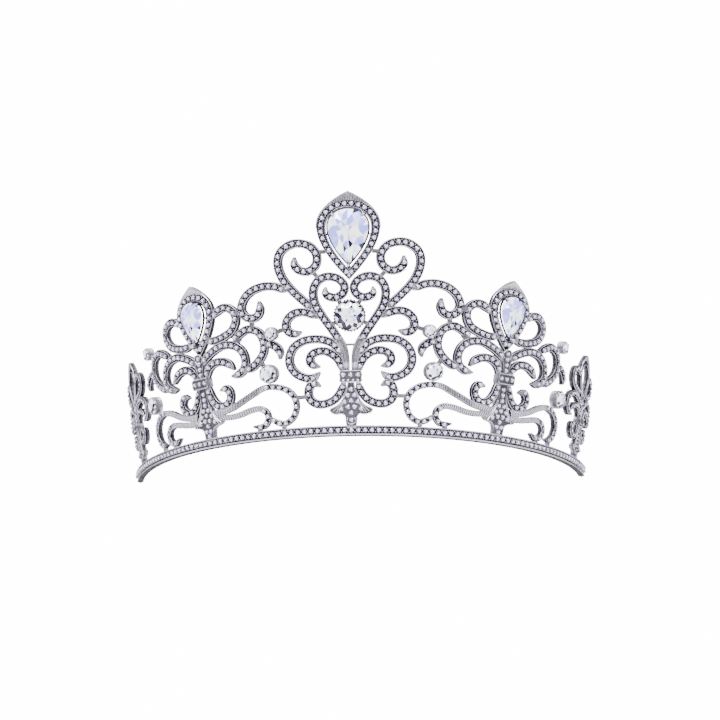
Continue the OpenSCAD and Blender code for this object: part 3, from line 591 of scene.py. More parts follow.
# %% Spreading trees
def place_items(graph, given, points, ahead, leave):
    """Copies of the item on points, standing out of the face, each with a number of its own."""
    face = named(graph, "face", "FLOAT_VECTOR")
    lifted = graph.add("GeometryNodeSetPosition", None,
                       {"Geometry": points, "Offset": graph.vector("SCALE", face, given["Lift"])})
    stand = graph.add("FunctionNodeAxesToRotation", {"primary_axis": "Z", "secondary_axis": "X"},
                      {"Primary Axis": face, "Secondary Axis": ahead})
    chance = graph.add("FunctionNodeRandomValue", {"data_type": "FLOAT"},
                       {"Min": 0.0, "Max": 1.0, "Seed": given["Seed"]})
    spin = graph.add("FunctionNodeAxisAngleToRotation", None,
                     {"Axis": (0, 0, 1), "Angle": given["Turn"] + chance * given["Spin"]})
    turned = graph.add("FunctionNodeRotateRotation", {"rotation_space": "LOCAL"},
                       {"Rotation": stand, "Rotate By": spin})
    size = named(graph, "size") * given["Size"]
    wide = size * (1 - given["Fit"]) + given["Fit"] * named(graph, "half") * 1000.0
    scale = graph.add("ShaderNodeCombineXYZ", None, {"X": size, "Y": wide, "Z": size})
    item = graph.add("GeometryNodeObjectInfo", None, {"Object": given["Item"]}, "Geometry")
    copies = graph.add("GeometryNodeInstanceOnPoints", None,
                       {"Points": lifted, "Instance": item, "Rotation": turned, "Scale": scale})
    toned = graph.add("GeometryNodeStoreNamedAttribute", {"data_type": "FLOAT", "domain": "INSTANCE"},
                      {"Geometry": copies, "Name": "tone",
                       "Value": graph.add("FunctionNodeRandomValue", {"data_type": "FLOAT"},
                                          {"Min": 0.0, "Max": 1.0, "Seed": given["Seed"]})})
    solid = graph.add("GeometryNodeRealizeInstances", None, {"Geometry": toned})
    done = graph.add("GeometryNodeSetMaterial", None, {"Geometry": solid, "Material": given["Finish"]})
    graph.give(leave.inputs[0], done)


ITEM_INPUTS = [("Item", "Object"), ("Lift", "Float"), ("Turn", "Float"), ("Spin", "Float"),
               ("Size", "Float"), ("Fit", "Float"), ("Seed", "Int"), ("Finish", "Material")]


def spreading_tree():
    own_inputs = [("Pitch", "Float"), ("Shift", "Float")]
    graph, given, leave = new_tree("spread along rails", own_inputs + ITEM_INPUTS)
    line = graph.add("GeometryNodeMeshToCurve", None, {"Mesh": given["Geometry"]})
    whole = graph.add("GeometryNodeSplineLength", output="Length")
    bare_root, bare_tip = named(graph, "from"), named(graph, "to")
    held = whole - bare_root - bare_tip
    pitch = given["Pitch"] * named(graph, "size")
    extra = given["Shift"] * held / (held / pitch).rounded().most(1.0)
    trimmed = graph.add("GeometryNodeTrimCurve", {"mode": "LENGTH"},
                        {"Curve": line, "Start_001": bare_root + extra, "End_001": whole - bare_tip - extra})
    steps = (graph.add("GeometryNodeSplineLength", output="Length") / pitch).rounded().most(1.0)
    dotted = graph.add("GeometryNodeResampleCurve", {"mode": "COUNT"}, {"Curve": trimmed, "Count": steps + 1})
    place_items(graph, given, dotted, graph.add("GeometryNodeInputTangent"), leave)
    return graph.tree


def dotting_tree():
    graph, given, leave = new_tree("set on points", ITEM_INPUTS)
    dots = graph.add("GeometryNodeMeshToPoints", None, {"Mesh": given["Geometry"], "Radius": 0.0001})
    place_items(graph, given, dots, named(graph, "side", "FLOAT_VECTOR"), leave)
    return graph.tree


spread_tree, dot_tree = spreading_tree(), dotting_tree()
print("spreading trees:", len(spread_tree.nodes), "and", len(dot_tree.nodes), "nodes")

# %% [markdown]
# ### Cut stones
# A brilliant cut has a flat table, star facets round it, kite facets below them, and a ring of small facets
# at the girdle. `cut_stone` builds it from rings of points: the outline, as a function of the angle, is a
# circle or a pear, and the same rule of joining the rings serves both.

# %% The cut of a stone
PEAR_PEAK = 0.7698


def pear(w, l, t):
    """Point of a pear outline at the angle t, in radians, with its tail at t = 0."""
    u = np.mod(t, 2 * math.pi)
    return np.stack([w / 2 * np.sin(u) * np.sin(u / 2) / PEAR_PEAK, -l / 2 * np.cos(u)], -1)


def round_outline(d):
    return lambda t: np.array([d / 2 * math.cos(t), d / 2 * math.sin(t)])


def pear_outline(w, l):
    return lambda t: pear(w, l, t)


def facet_ring(outline, middle, share, height, n, start):
    ring = []
    for i in range(n):
        p = middle + share * (np.asarray(outline(2 * math.pi * (i + start) / n)) - middle)
        ring.append((p[0], p[1], height))
    return ring


# Painted reflections on the table facets of a stone without a pavilion
TABLE_NUMBERS = (0.0, 0.06, 0.33, 0.0, 0.45, 0.0)


def cut_stone(name, outline, n, levels, middle=(0, 0), depth=None, look=None):
    """A stone from the heights of its girdle, kites' corners and table, and their shares of the outline.

    A stone with a depth also gets a pavilion, and a flat star on its table that carries painted reflections of
    its back facets. Its look gives each facet a number for a painted reflection, from the ring it belongs to, its
    place in the ring and its own middle."""
    middle = np.array(middle, float)
    (girdle_z, _), (kite_z, kite_k), (table_z, table_k) = levels
    points = facet_ring(outline, middle, 1.0, girdle_z, 2 * n, 0)
    points += facet_ring(outline, middle, kite_k, kite_z, n, 0.5)
    points += facet_ring(outline, middle, table_k, table_z, n, 0)
    g, k, t = 0, 2 * n, 3 * n
    faces, numbers = [], []

    def facet(ring, i, number, *corners):
        faces.append(corners)
        if look is not None:
            number = look(ring, i, np.mean([points[c] for c in corners], axis=0))
        numbers.append(number)

    for i in range(n):
        j, before = (i + 1) % n, (i - 1) % n
        # Each number picks a painted reflection from the ramp; neighbouring facets alternate light and dark
        facet("star", i, 0.05 + 0.37 * (i % 2), t + i, k + i, t + j)
        facet("kite", i, 0.38 + 0.17 * (i % 2), t + i, k + before, g + 2 * i, k + i)
        facet("rim", 2 * i, 0.46, k + i, g + 2 * i, g + 2 * i + 1)
        facet("rim", 2 * i + 1, 0.60, k + i, g + 2 * i + 1, g + (2 * i + 2) % (2 * n))
    if depth is None:
        points.append((middle[0], middle[1], table_z))
        for i in range(n):
            facet("table", i, TABLE_NUMBERS[i % 6], t + i, t + (i + 1) % n, 4 * n)
        facet("back", 0, 0.6, *[g + i for i in reversed(range(2 * n))])
        return stone_object(name, points, faces, numbers)
    star, heart = len(points), len(points) + n
    points += facet_ring(outline, middle, table_k * 0.55, table_z, n, 0.5)
    points.append((middle[0], middle[1], table_z))
    for i in range(n):
        j = (i + 1) % n
        facet("point", i, 0, t + i, star + i, t + j)
        facet("fan", i, 0, star + i, star + j, t + j)
        facet("middle", i, 0, heart, star + j, star + i)
    low, culet = len(points), len(points) + 2 * n
    points += facet_ring(outline, middle, 1.0, girdle_z - 0.07 * depth, 2 * n, 0)
    points.append((middle[0], middle[1], girdle_z - depth))
    for i in range(2 * n):
        j = (i + 1) % (2 * n)
        facet("girdle", i, 0, g + i, low + i, low + j, g + j)
        facet("back", i, 0, low + i, culet, low + j)
    return stone_object(name, points, faces, numbers)


# Places on the ramp of each painted reflection colour
WHITE_FACET, BLUE_FACET, PALE_FACET, GREY_FACET, DARK_FACET = 0.03, 0.22, 0.36, 0.55, 0.62


def choice(luck, last, *steps):
    """The number of the first step, as (limit, number), that the luck falls below, or else the last one."""
    return next((number for limit, number in steps if luck < limit), last)


def pear_look(length, seed):
    """Painted reflections: blue in the round end, white across the middle, and broken up towards the tail and the
    edge.
    """
    chance = random.Random(seed)

    def look(ring, i, middle):
        luck, height = chance.random(), middle[1] / length
        if ring in ("rim", "girdle"):
            return choice(luck, WHITE_FACET, (0.12, DARK_FACET), (0.40, BLUE_FACET))
        if ring == "kite" and height > 0.1:
            return choice(luck, PALE_FACET, (0.7, BLUE_FACET))
        if ring == "kite":
            return choice(luck, WHITE_FACET, (0.06, GREY_FACET), (0.45, BLUE_FACET), (0.65, PALE_FACET))
        if height > 0.16:
            return choice(luck, WHITE_FACET, (0.72, BLUE_FACET), (0.94, PALE_FACET))
        if height > -0.12:
            return choice(luck, BLUE_FACET, (0.66, WHITE_FACET), (0.86, PALE_FACET))
        return choice(luck, WHITE_FACET, (0.06, DARK_FACET), (0.40, BLUE_FACET), (0.55, PALE_FACET))
    return look


def round_look(seed):
    """Painted reflections: rays of white and dark kites round a pale middle, with most of the dark ones below."""
    chance = random.Random(seed)

    def look(ring, i, middle):
        luck, below = chance.random(), middle[1] < 0.1
        if ring == "kite":
            return choice(luck, WHITE_FACET, (0.62 if below else 0.25, DARK_FACET))
        if ring == "rim":
            return choice(luck, WHITE_FACET, (0.3, DARK_FACET))
        if ring == "star":
            return choice(luck, WHITE_FACET, (0.35 if below else 0.15, GREY_FACET))
        if ring == "fan":
            return choice(luck, WHITE_FACET, (0.25 if below else 0.1, DARK_FACET))
        return choice(luck, WHITE_FACET, (0.2, BLUE_FACET), (0.5, PALE_FACET))
    return look


def stone_object(name, points, faces, numbers):
    mesh = bpy.data.meshes.new(name)
    mesh.from_pydata([tuple(c * MM for c in p) for p in points], [], faces)
    mesh.attributes.new("facet", "FLOAT", "FACE").data.foreach_set("value", numbers)
    return outwards(piece(name, mesh))


def rib_bar():
    """A short engraved rib: a low bar with bevelled ends, one millimetre from its middle to each end."""
    outline = [(-1, 0), (-0.85, 0.12), (0.85, 0.12), (1, 0)]
    points = [(x * MM, y * MM, z * MM) for x in (-0.16, 0.16) for y, z in outline]
    points += [(0, y * 0.9 * MM, (z + 0.10) * MM) for y, z in outline[1:3]]
    faces = [[0, 1, 2, 3], [7, 6, 5, 4], [0, 3, 7, 4], [1, 8, 9, 2], [8, 5, 6, 9],
             [0, 4, 5, 8, 1], [3, 2, 9, 6, 7]]
    mesh = bpy.data.meshes.new("rib bar")
    mesh.from_pydata(points, [], faces)
    return piece("rib_bar", mesh)


def dot_item(name, places, radius):
    """Small round dots of metal, side by side across a strip."""
    work = bmesh.new()
    for y in places:
        at = Matrix.Translation((0, y * MM, 0))
        bmesh.ops.create_icosphere(work, subdivisions=1, radius=radius * MM, matrix=at)
    return piece(name, mesh_of(name, work))


dot, dot_row = dot_item("dot", [0], 0.17), dot_item("dot_row", [-0.62, -0.2, 0.2, 0.62], 0.15)
small_stone = cut_stone("small_stone", round_outline(1), 6, [(0.0, 1), (0.16, 0.80), (0.27, 0.52)])
grains, rib = dot_item("grain_pair", [-0.52, 0.52], 0.24), rib_bar()
print("small stone:", len(small_stone.data.polygons), "facets")

# %% Rows and single items
STONE_LIFT, FULL_SPIN = 0.06, 6.28


def spread(name, rails, item, finish, pitch, shift=0.0, lift=0.0, turn=0.0, spin=0.0, size=1.0, fit=0.0,
           seed=1):
    """Copies of an item along rails."""
    return grown(rails_object(name, rails), spread_tree,
                 {"Pitch": pitch * MM, "Shift": shift, "Item": item, "Lift": lift * MM, "Turn": turn,
                  "Spin": spin, "Size": size, "Fit": fit, "Seed": seed, "Finish": finish}, name)


def dotted(name, spots, item, finish, lift=0.0, size=1.0, seed=1):
    """Single items. Each spot is [arc, height, size, lift]."""
    p = np.array([s[:2] for s in spots], float)
    across, face = directions(p)
    n = len(p)
    rails = []
    for i in range(n):
        place = skin(p[i]) + face[i] * spots[i][3]
        rails.append({"centre": place[None], "side": across[i][None], "face": face[i][None], "closed": False,
                      "half": np.ones(1), "open": np.ones(1), "tip": np.zeros(1), "bare": (0, 0),
                      "size": spots[i][2]})
    return grown(rails_object(name, rails), dot_tree,
                 {"Item": item, "Lift": lift * MM, "Turn": 0.0, "Spin": 1.0, "Size": size, "Fit": 0.0,
                  "Seed": seed, "Finish": finish}, name)


def joined(name, parts):
    """Several finished parts as one piece."""
    for other in bpy.context.selected_objects:
        other.select_set(False)
    with bpy.context.temp_override(active_object=parts[0], selected_editable_objects=parts):
        bpy.ops.object.join()
    parts[0].name = parts[0].data.name = name
    return parts[0]


print("rows are set", STONE_PITCH, "mm apart")

# %% [markdown]
# ## The scrolls
# Each scroll of the centre motif is one piece. In the side and rear motifs, mirrored pairs are one piece,
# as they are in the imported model. The rows of stones follow the same rails.

# %% Centre motif
LOWER_SINK = 0.12
rows = {}
for side, word in SIDES:
    rows[word + "_centre_pave"] = []
    for name, drawing in CENTRE.items():
        root, lead = ROOTS[name]
        made = scroll(drawing, side, root=root, lead=lead, sink=LOWER_SINK if name == "lower_petal" else 0.0)
        rows[word + "_centre_pave"].append(made)
        swept_piece(f"{word}_{name}_metal", [made], f"{word}_{name}")
print("centre rows:", {k: len(v) for k, v in rows.items()})

# %% Side motifs
SIDE_ROOT = 1.5
PAIRS = {"side_loops": ["loop"], "side_petals": ["petal"], "side_curls": ["curl", "lower_curl"],
         "side_wings": ["wing"]}
# How far each pair, and the barbs, lie behind the face of the loops
LEVELS = {"side_loops": 0.0, "side_petals": 0.06, "side_curls": 0.12, "side_wings": 0.18, "wing_barbs": 0.26}


def motif(names, side, axis, size, root, width, sink=0.0):
    return [scroll(MOTIF[n], side, axis, size, flip, root, width, sink=sink)
            for n in names for flip in (-1, 1)]


barbs = []
for side, word in SIDES:
    row = rows[word + "_side_pave"] = []
    for node, names in PAIRS.items():
        axis = UPPER_AXIS if node == "side_loops" else SIDE_AXIS
        made = motif(names, side, axis, 1.0, SIDE_ROOT, RIBBON_W, sink=LEVELS[node])
        row += made
        swept_piece(f"{word}_{node}_metal", made, f"{word}_{node}")
    made = motif(["barb"], side, SIDE_AXIS, 1.0, SIDE_ROOT, RIBBON_W, sink=LEVELS["wing_barbs"])
    row += made
    barbs += made
swept_piece("wing_barbs_metal", barbs, "wing_barbs")
print("side rows:", len(rows["left_side_pave"]))

# %% Rear motifs
REAR_W = RIBBON_W * 0.72
rows["rear_pave"] = []
for node, names in {"rear_loops": ["loop"], "rear_scrolls": ["petal", "curl", "lower_curl"]}.items():
    made = [m for side in (-1, 1)
            for m in motif(names, side, REAR_AXIS, REAR_SCALE, SIDE_ROOT * REAR_SCALE, REAR_W)]
    rows["rear_pave"] += made
    swept_piece(node + "_metal", made, node)
print("rear rows:", len(rows["rear_pave"]))

# %% [markdown]
# ## The ribbed arms
# The long arms beside the band carry slanted engraved ribs instead of stones, and stones only where they
# curl. The ribs are bars that the spreading tree lays across the arm at a slant, as long as the arm is wide.

# %% Arms
RIB_PITCH, RIB_SLANT, ARM_ROOT = 0.62, math.radians(32), ARM_W * 0.8
ARM_PAIRS = {"ring_arms": ["ring_arm", "rear_ring_arm"], "band_arms": ["front_arm", "rear_arm"]}
for side, word in SIDES:
    for node, names in ARM_PAIRS.items():
        made = [scroll(ARMS[n], side, root=ARM_ROOT, width=ARM_W, channel_to_ends=True) for n in names]
        rows[word + "_side_pave"] += made
        swept_piece(f"{word}_{node}_metal", made, f"{word}_{node}")
        ribbed = [dict(m, bare=(0.5, m["run"][-1] - m["bare"][0] + 0.6)) for m in made]
        ribs = spread(f"{word}_{node}_ribs", ribbed, rib, silver, RIB_PITCH, lift=METAL_T - 0.3,
                      turn=RIB_SLANT * side, fit=0.8)
        seat(outwards(ribs, 30), SILVER)
print("arms with ribs every", RIB_PITCH, "mm")

# %% [markdown]
# ## The pear frames
# A pear frame is a closed channel that follows the outline of its stone, and draws up to a point at the top.
# Its row of stones keeps to the rounded line below the point, so the point is an extra reach of the outer
# rim only, which the section takes from `tip`.

# %% Frames
FRAME_HALF, POINT_H, TAIL_REACH = 1.05, 2.3, 1.5
SIDE_GAP, END_GAP = 0.6, 0.8
CREST_GEM, SIDE_GEM = (11.6, 15.8), (8.6, 12.0)
# How much wider the shell is at the stones than at the band, and the rise of a unit of length up the shell
CREST_STRETCH, SIDE_STRETCH, LEAN_SHARE = 1.24, 1.13, 0.96


def frame_size(gem, stretch):
    """Width and length, on the drawing, of the middle line of a frame."""
    return ((gem[0] + 2 * SIDE_GAP) / stretch + 2 * FRAME_HALF,
            (gem[1] + 2 * END_GAP) * LEAN_SHARE + FRAME_HALF * (1 + TAIL_REACH))


CREST_W, CREST_L = frame_size(CREST_GEM, CREST_STRETCH)
SIDE_W, SIDE_L = frame_size(SIDE_GEM, SIDE_STRETCH)
CREST_Z = CREST_H - POINT_H - FRAME_HALF - CREST_L / 2
SIDE_Z = SIDE_H - POINT_H - FRAME_HALF - SIDE_L / 2


def point_reach(x, w):
    """Height of a frame's point above its outer rim."""
    return POINT_H * np.clip(1 - np.abs(x) / (w / 2), 0, 1) ** 1.5


def grown_pear(w, l, t, grow):
    """A pear outline that is wider by grow on each side, and reaches further at its tail."""
    p = pear(w + 2 * grow, l + grow * (1 + TAIL_REACH), t)
    return p + np.array([0, grow * (1 - TAIL_REACH) / 2])


def frame_rail(axis, centre, w, l, size=1.0, closed=True, steps=96):
    """The strip of a pear frame: between its inner and its outer outline."""
    t = np.linspace(0, 2 * math.pi, steps, endpoint=not closed)

    def spot(grow, point=False):
        q = grown_pear(w, l, t, grow)
        if point:
            reach = point_reach(q[:, 0], w)
            q = q + np.stack([0 * reach, reach * (q[:, 1] > 0)], -1)
        return np.stack([axis + size * q[:, 0], BAND_H + size * (centre + q[:, 1] - BAND_H)], -1)

    inner, outer, peak = skin(spot(-FRAME_HALF)), skin(spot(FRAME_HALF)), skin(spot(FRAME_HALF, True))
    middle = spot(0)
    side = unit(outer - inner)
    return {"centre": (inner + outer) / 2, "side": side, "face": directions(middle)[1], "closed": closed,
            "half": np.linalg.norm(outer - inner, axis=1) / 2, "open": np.ones(steps),
            "tip": np.sum((peak - outer) * side, axis=1), "bare": (STONE_PITCH / 2, STONE_PITCH / 2),
            "size": size}


swept_piece("crest_frame_metal", [frame_rail(0, CREST_Z, CREST_W, CREST_L)], "crest_frame")
rows["midline_pave"] = [frame_rail(0, CREST_Z, CREST_W, CREST_L, closed=False)]
rears = []
for side, word in SIDES:
    swept_piece(f"{word}_side_frame_metal", [frame_rail(side * UPPER_AXIS, SIDE_Z, SIDE_W, SIDE_L)],
                f"{word}_side_frame")
    rows[word + "_side_pave"].append(frame_rail(side * UPPER_AXIS, SIDE_Z, SIDE_W, SIDE_L, closed=False))
    rears.append(frame_rail(side * REAR_AXIS, SIDE_Z, SIDE_W, SIDE_L, REAR_SCALE))
swept_piece("rear_frames_metal", rears, "rear_frames")
print("crest frame:", round(CREST_W, 1), "by", round(CREST_L, 1), "mm")

# %% [markdown]
# ## The base band
# The band is a channel too, but its bottom is flat, so that the tiara stands on it. Its rail therefore has an
# upright `side`, sheared by the band's lean, and a level `face`.

# %% Band
BAND_SLOPE = math.tan(math.radians((FRONT_FLARE + END_FLARE) / 2))
turns = np.linspace(-BAND_REACH, BAND_REACH, 261) / HEAD_R
out = np.stack([np.sin(turns), -np.cos(turns), 0 * turns], -1)
upright = out * BAND_SLOPE + np.array([0, 0, 1])
band_rail = {"centre": out * HEAD_R + upright * BAND_H / 2, "side": upright, "face": out, "closed": False,
             "half": np.full(len(turns), BAND_H / 2), "open": np.ones(len(turns)),
             "tip": np.zeros(len(turns)), "bare": (1.5, 1.5), "size": 1.0}
# The last number at each corner paints shade on the band's bottom, its back and its groove, and leaves the rims
# bright
band_section = section_object("band section", [
    (-1, 0, 0, 0.95), (1, 0, 0, 0.4), (1, 0.9, 0, 0.1), (0.96, 0.98, 0, 0), (0.84, 1, 0, 0),
    (0.74, 0.97, 0, 0.1), (0.68, 0.80, 0, 1), (-0.68, 0.80, 0, 1), (-0.74, 0.97, 0, 0.1), (-0.84, 1, 0, 0),
    (-0.96, 0.98, 0, 0), (-1, 0.92, 0, 0.5), (-1, 0.84, 0, 0.95)])
swept_piece("base_band_metal", [band_rail], "base_band", section=band_section, thickness=BAND_T)
outer_face = unit(out - np.array([0, 0, BAND_SLOPE]))
stone_line = dict(band_rail, centre=out * (HEAD_R + BAND_T) + upright * BAND_H / 2, face=outer_face)
print("band:", round(2 * BAND_REACH), "mm along its inner face")

# %% Rows of stones with their grains
for node, rails in rows.items():
    stones = spread(node + "_stones", rails, small_stone, pave_crystal, STONE_PITCH,
                    lift=METAL_T + STONE_LIFT, spin=FULL_SPIN, size=STONE_D, seed=3)
    seat(stones, CRYSTAL, node)
    dots = spread(node + "_grains", rails, grains, grain_silver, STONE_PITCH, shift=0.5, lift=METAL_T - 0.08)
    seat(outwards(dots, 60), SILVER)
stones = spread("band_stones", [stone_line], small_stone, pave_crystal, STONE_PITCH, lift=-0.12,
                spin=FULL_SPIN, size=STONE_D, seed=5)
seat(stones, CRYSTAL, "band_pave")
dots = spread("band_grains", [stone_line], grains, grain_silver, STONE_PITCH, shift=0.5, lift=-0.2)
seat(outwards(dots, 60), SILVER)
print("rows of stones:", len(rows) + 1)

# %% [markdown]
# ### Hatched tips
# Beyond the last stone, the tip of each scroll has rows of fine dots that a graver has raised. They follow
# the tip, and get narrower with it.

# %% Fine dots on the tips
DOT_PITCH = 0.42
tips = []
for rails in rows.values():
    for r in rails:
        if "run" in r:
            tips.append(dict(r, bare=(r["run"][-1] - r["bare"][1] + 0.75 * r["size"], 0.35), size=1.0))
fine = spread("tip_dots", tips, dot_row, grain_silver, DOT_PITCH, lift=METAL_T - 0.1, fit=0.75)
seat(outwards(fine, 60), SILVER)
print("dots on", len(tips), "tips")

# %% [markdown]
# ## Plates, collars and feet
# The fleur's foot, the side stems and the collars are flat castings with a raised rim round a sunken field
# that holds a few stones. The field and the plate's sides carry tarnish and painted shade, the back a little
# of it, and the rim stays bright. A plate is drawn as half an outline, mirrored, laid on the plane that
# touches the shell, and given a bevelled rim with an inset.

# %% Plates
COLLAR_T, BEAD = 0.9, 0.14
COLLAR_BACK = -0.2
# Painted shade and tarnish on a plate's field and sides, and the lighter amount on its back
SHADED, NEAR_BACK = 0.8, 0.25
# Each step inwards from a plate's edge: shares of the rim's width and of the bead, and the painted shade and
# tarnish there
RIM_STEPS = ((0.12, 0.6, 0.0), (0.3, 0.4, 0.0), (0.3, -0.3, 0.0), (0.28, -0.7, 0.2))


def plate(name, axis, half_outline, size=1.0, back=0.0, face=METAL_T, rim=0.34, dip=0.28):
    """A flat casting from half an outline of [half width, height]."""
    line = np.array(half_outline, float)
    if len(line) > 6:
        line = smooth(line, 0.5)
    heights = BAND_H + size * (line[:, 1] - BAND_H)
    middle = (heights.min() + heights.max()) / 2
    spot = np.array([axis, middle])
    across, out_of = directions(spot)
    up = np.cross(out_of, across)
    centre = skin(spot)
    stretch = np.linalg.norm(centre[:2]) / HEAD_R
    half = np.stack([size * line[:, 0] * stretch, (heights - middle) / up[2]], -1)
    ring = np.vstack([half, half[::-1] * [-1, 1]])
    work = bmesh.new()

    def at(p, z):
        return work.verts.new(tuple((centre + across * p[0] + up * p[1] + out_of * z) * MM))

    front = work.faces.new([at(p, face - BEAD) for p in ring])
    rear = bmesh.ops.extrude_face_region(work, geom=[front])
    moved = [g for g in rear["geom"] if isinstance(g, bmesh.types.BMVert)]
    bmesh.ops.translate(work, verts=moved, vec=Vector(tuple(-out_of * (face - BEAD - back) * MM)))
    outward = Vector(tuple(out_of))
    base = Vector(tuple(centre * MM)).dot(outward)
    ahead = base + (face - 0.3) * MM
    front = max(work.faces, key=lambda f: f.calc_area() * (f.calc_center_median().dot(outward) > ahead))
    recess = work.verts.layers.float.new("recess")
    behind = base + (back + 0.05) * MM
    for v in work.verts:
        v[recess] = NEAR_BACK if v.co.dot(outward) < behind else SHADED
    bmesh.ops.recalc_face_normals(work, faces=work.faces)
    for share, height, dark in RIM_STEPS:
        bmesh.ops.inset_region(work, faces=[front], thickness=share * rim * MM, depth=height * BEAD * MM)
        for v in front.verts:
            v[recess] = dark
    bmesh.ops.inset_region(work, faces=[front], thickness=0.05 * MM, depth=-dip * MM)
    for v in front.verts:
        v[recess] = SHADED
    mesh = mesh_of(name, work)
    mesh.materials.append(silver)
    return outwards(piece(name, mesh), 62)


CENTRE_COLLAR = [[2.7, 14.8], [3.1, 15.3], [2.9, 16.1], [3.1, 17], [2.8, 18.2]]
CENTRE_FOOT = [[0.9, 15], [1.4, 12.6], [2.4, 10.4], [3.8, 8.8], [5.9, 7.7], [5.6, 6.6], [4.2, 6],
               [2.4, 6.1], [1.7, 5.4], [1.6, 4.2], [1.3, 2.4]]
SIDE_COLLAR = [[2.6, 17.3], [2.9, 17.8], [2.9, 19.9], [2.5, 20.4]]
SIDE_STEM = [[0.8, 27.4], [1.6, 26.2], [1.6, 24], [1.3, 22.6], [1.1, 20.2], [1.4, 17.5], [1.5, 13.5],
             [2.4, 11], [3.4, 8.9], [5.4, 7.7], [5, 6.6], [3, 6.1], [2.1, 5.4], [1.8, 4.2], [1.8, 2.4]]
seat(plate("fleur_foot_metal", 0, CENTRE_FOOT), SILVER, "fleur_foot")
seat(plate("fleur_collar_metal", 0, CENTRE_COLLAR, back=COLLAR_BACK, face=METAL_T + COLLAR_T),
     SILVER, "fleur_collar")
rear_plates = []
for side, word in SIDES:
    seat(plate(f"{word}_side_stem_metal", side * SIDE_AXIS, SIDE_STEM, rim=0.3), SILVER, f"{word}_side_stem")
    seat(plate(f"{word}_side_collar_metal", side * SIDE_AXIS, SIDE_COLLAR, back=COLLAR_BACK,
               face=METAL_T + COLLAR_T), SILVER, f"{word}_side_collar")
    rear_plates.append(plate(f"{word}_rear_stem", side * REAR_AXIS, SIDE_STEM, REAR_SCALE, rim=0.22, dip=0.2))
    rear_plates.append(plate(f"{word}_rear_collar", side * REAR_AXIS, SIDE_COLLAR, REAR_SCALE, COLLAR_BACK,
                             METAL_T + COLLAR_T * REAR_SCALE, rim=0.22, dip=0.2))
seat(joined("rear_stems_metal", rear_plates), SILVER, "rear_stems")
print("plates with raised rims")

# %% Single stones on the plates
FOOT_STONES = [[0, 13], [-0.9, 11.4], [0.9, 11.4], [0, 9.9], [-1.8, 9.6], [1.8, 9.6], [-0.9, 8.2], [0.9, 8.2],
               [-2.7, 7.7], [2.7, 7.7], [0, 6.6], [0, 4.6]]
STEM_STONES = [[0, 26.1], [0, 24.5], [0, 22.9], [0, 21.3], [0, 15.8], [0, 14.2], [0, 12.6],
               [-0.9, 11.1], [0.9, 11.1], [0, 9.7], [-1.8, 9.4], [1.8, 9.4], [-0.9, 8.1], [0.9, 8.1],
               [-2.7, 7.6], [2.7, 7.6], [0, 6.6], [-0.8, 5.1], [0.8, 5.1], [0, 3.7]]


def spots(axis, places, size, lift, scale=1.0):
    return [[axis + scale * p[0], BAND_H + scale * (p[1] - BAND_H), size, lift] for p in places]


FIELD, COLLAR_FIELD = METAL_T - 0.2, METAL_T + COLLAR_T - 0.15
single = spots(0, FOOT_STONES, 1.08, FIELD)
single += spots(0, [[-1.9, 17], [0, 17], [1.9, 17]], 1.05, COLLAR_FIELD)
single += spots(0, [[-1.9, 15.5], [-0.65, 15.5], [0.65, 15.5], [1.9, 15.5]], 0.62, COLLAR_FIELD)
single += spots(0, [[0, CREST_Z - CREST_L / 2 - 0.25]], 0.7, FIELD)
for side in (-1, 1):
    single += spots(side * SIDE_AXIS, STEM_STONES, 1.0, FIELD)
    single += spots(side * SIDE_AXIS, [[-1.8, 18.85], [0, 18.85], [1.8, 18.85]], 0.95, COLLAR_FIELD)
    single += spots(side * REAR_AXIS, STEM_STONES, 0.58, METAL_T - 0.15, REAR_SCALE)
seat(dotted("plate_stones", single, small_stone, pave_crystal, size=STONE_D, seed=11), CRYSTAL)
print("single stones:", len(single))

# %% [markdown]
# ## Large stones and their settings
# The pear stones stand proud of their frames in wire baskets, each held by two claws at its shoulders and
# one at its tail, with a lower claw on each side. The round stones sit in collets, and the heart's has a
# beaded edge. Claws are tapered wires that end in a smooth bead over the stone's edge.

# %% Claws, wires and collets
GEM_LIFT, CLAW_D = 0.8, 0.9
STONE_RISE, BEAD_R = 0.6, 0.52
CLAW_BEND, CLAW_CURL, CLAW_RISE = 0.72, 0.28, 0.86
# Degrees from the tail of a pear stone, and whether the claw there is one of the lower ones
CLAW_PLACES = ((0, False), (142, False), (218, False), (96, True), (264, True))


def at_shell(spot, lift=0.0):
    """The matrix that stands a piece, drawn in millimetres about its own origin, on the shell."""
    across, face = directions(np.array(spot, float))
    up = np.cross(face, across)
    place = (skin(spot) + face * lift) * MM
    return Matrix([[across[i] * MM, up[i] * MM, face[i] * MM, place[i]] for i in range(3)] + [[0, 0, 0, 1]])


def wire(work, path, radii, closed=False, sides=10):
    """A round wire along a path, with its ends closed."""
    path = np.array(path, float)
    n = len(path)
    if closed:
        ahead = unit(np.roll(path, -1, 0) - np.roll(path, 1, 0))
    else:
        ahead = unit(np.gradient(path, axis=0))
    level = np.cross(ahead, [0.0, 0.0, 1.0])
    level = np.where(np.linalg.norm(level, axis=1, keepdims=True) < 1e-3, [1.0, 0.0, 0.0], level)
    u = unit(level)
    for i in range(1, n):
        if np.dot(u[i], u[i - 1]) < 0:
            u[i] = -u[i]
    v = np.cross(ahead, u)
    rings = []
    for i in range(n):
        ring = []
        for j in range(sides):
            a = 2 * math.pi * j / sides
            ring.append(work.verts.new(tuple(path[i] + radii[i] * (math.cos(a) * u[i] + math.sin(a) * v[i]))))
        rings.append(ring)
    for i in range(n if closed else n - 1):
        a, b = rings[i], rings[(i + 1) % n]
        for j in range(sides):
            work.faces.new([a[j], b[j], b[(j + 1) % sides], a[(j + 1) % sides]])
    if not closed:
        work.faces.new(rings[0])
        work.faces.new(rings[-1][::-1])


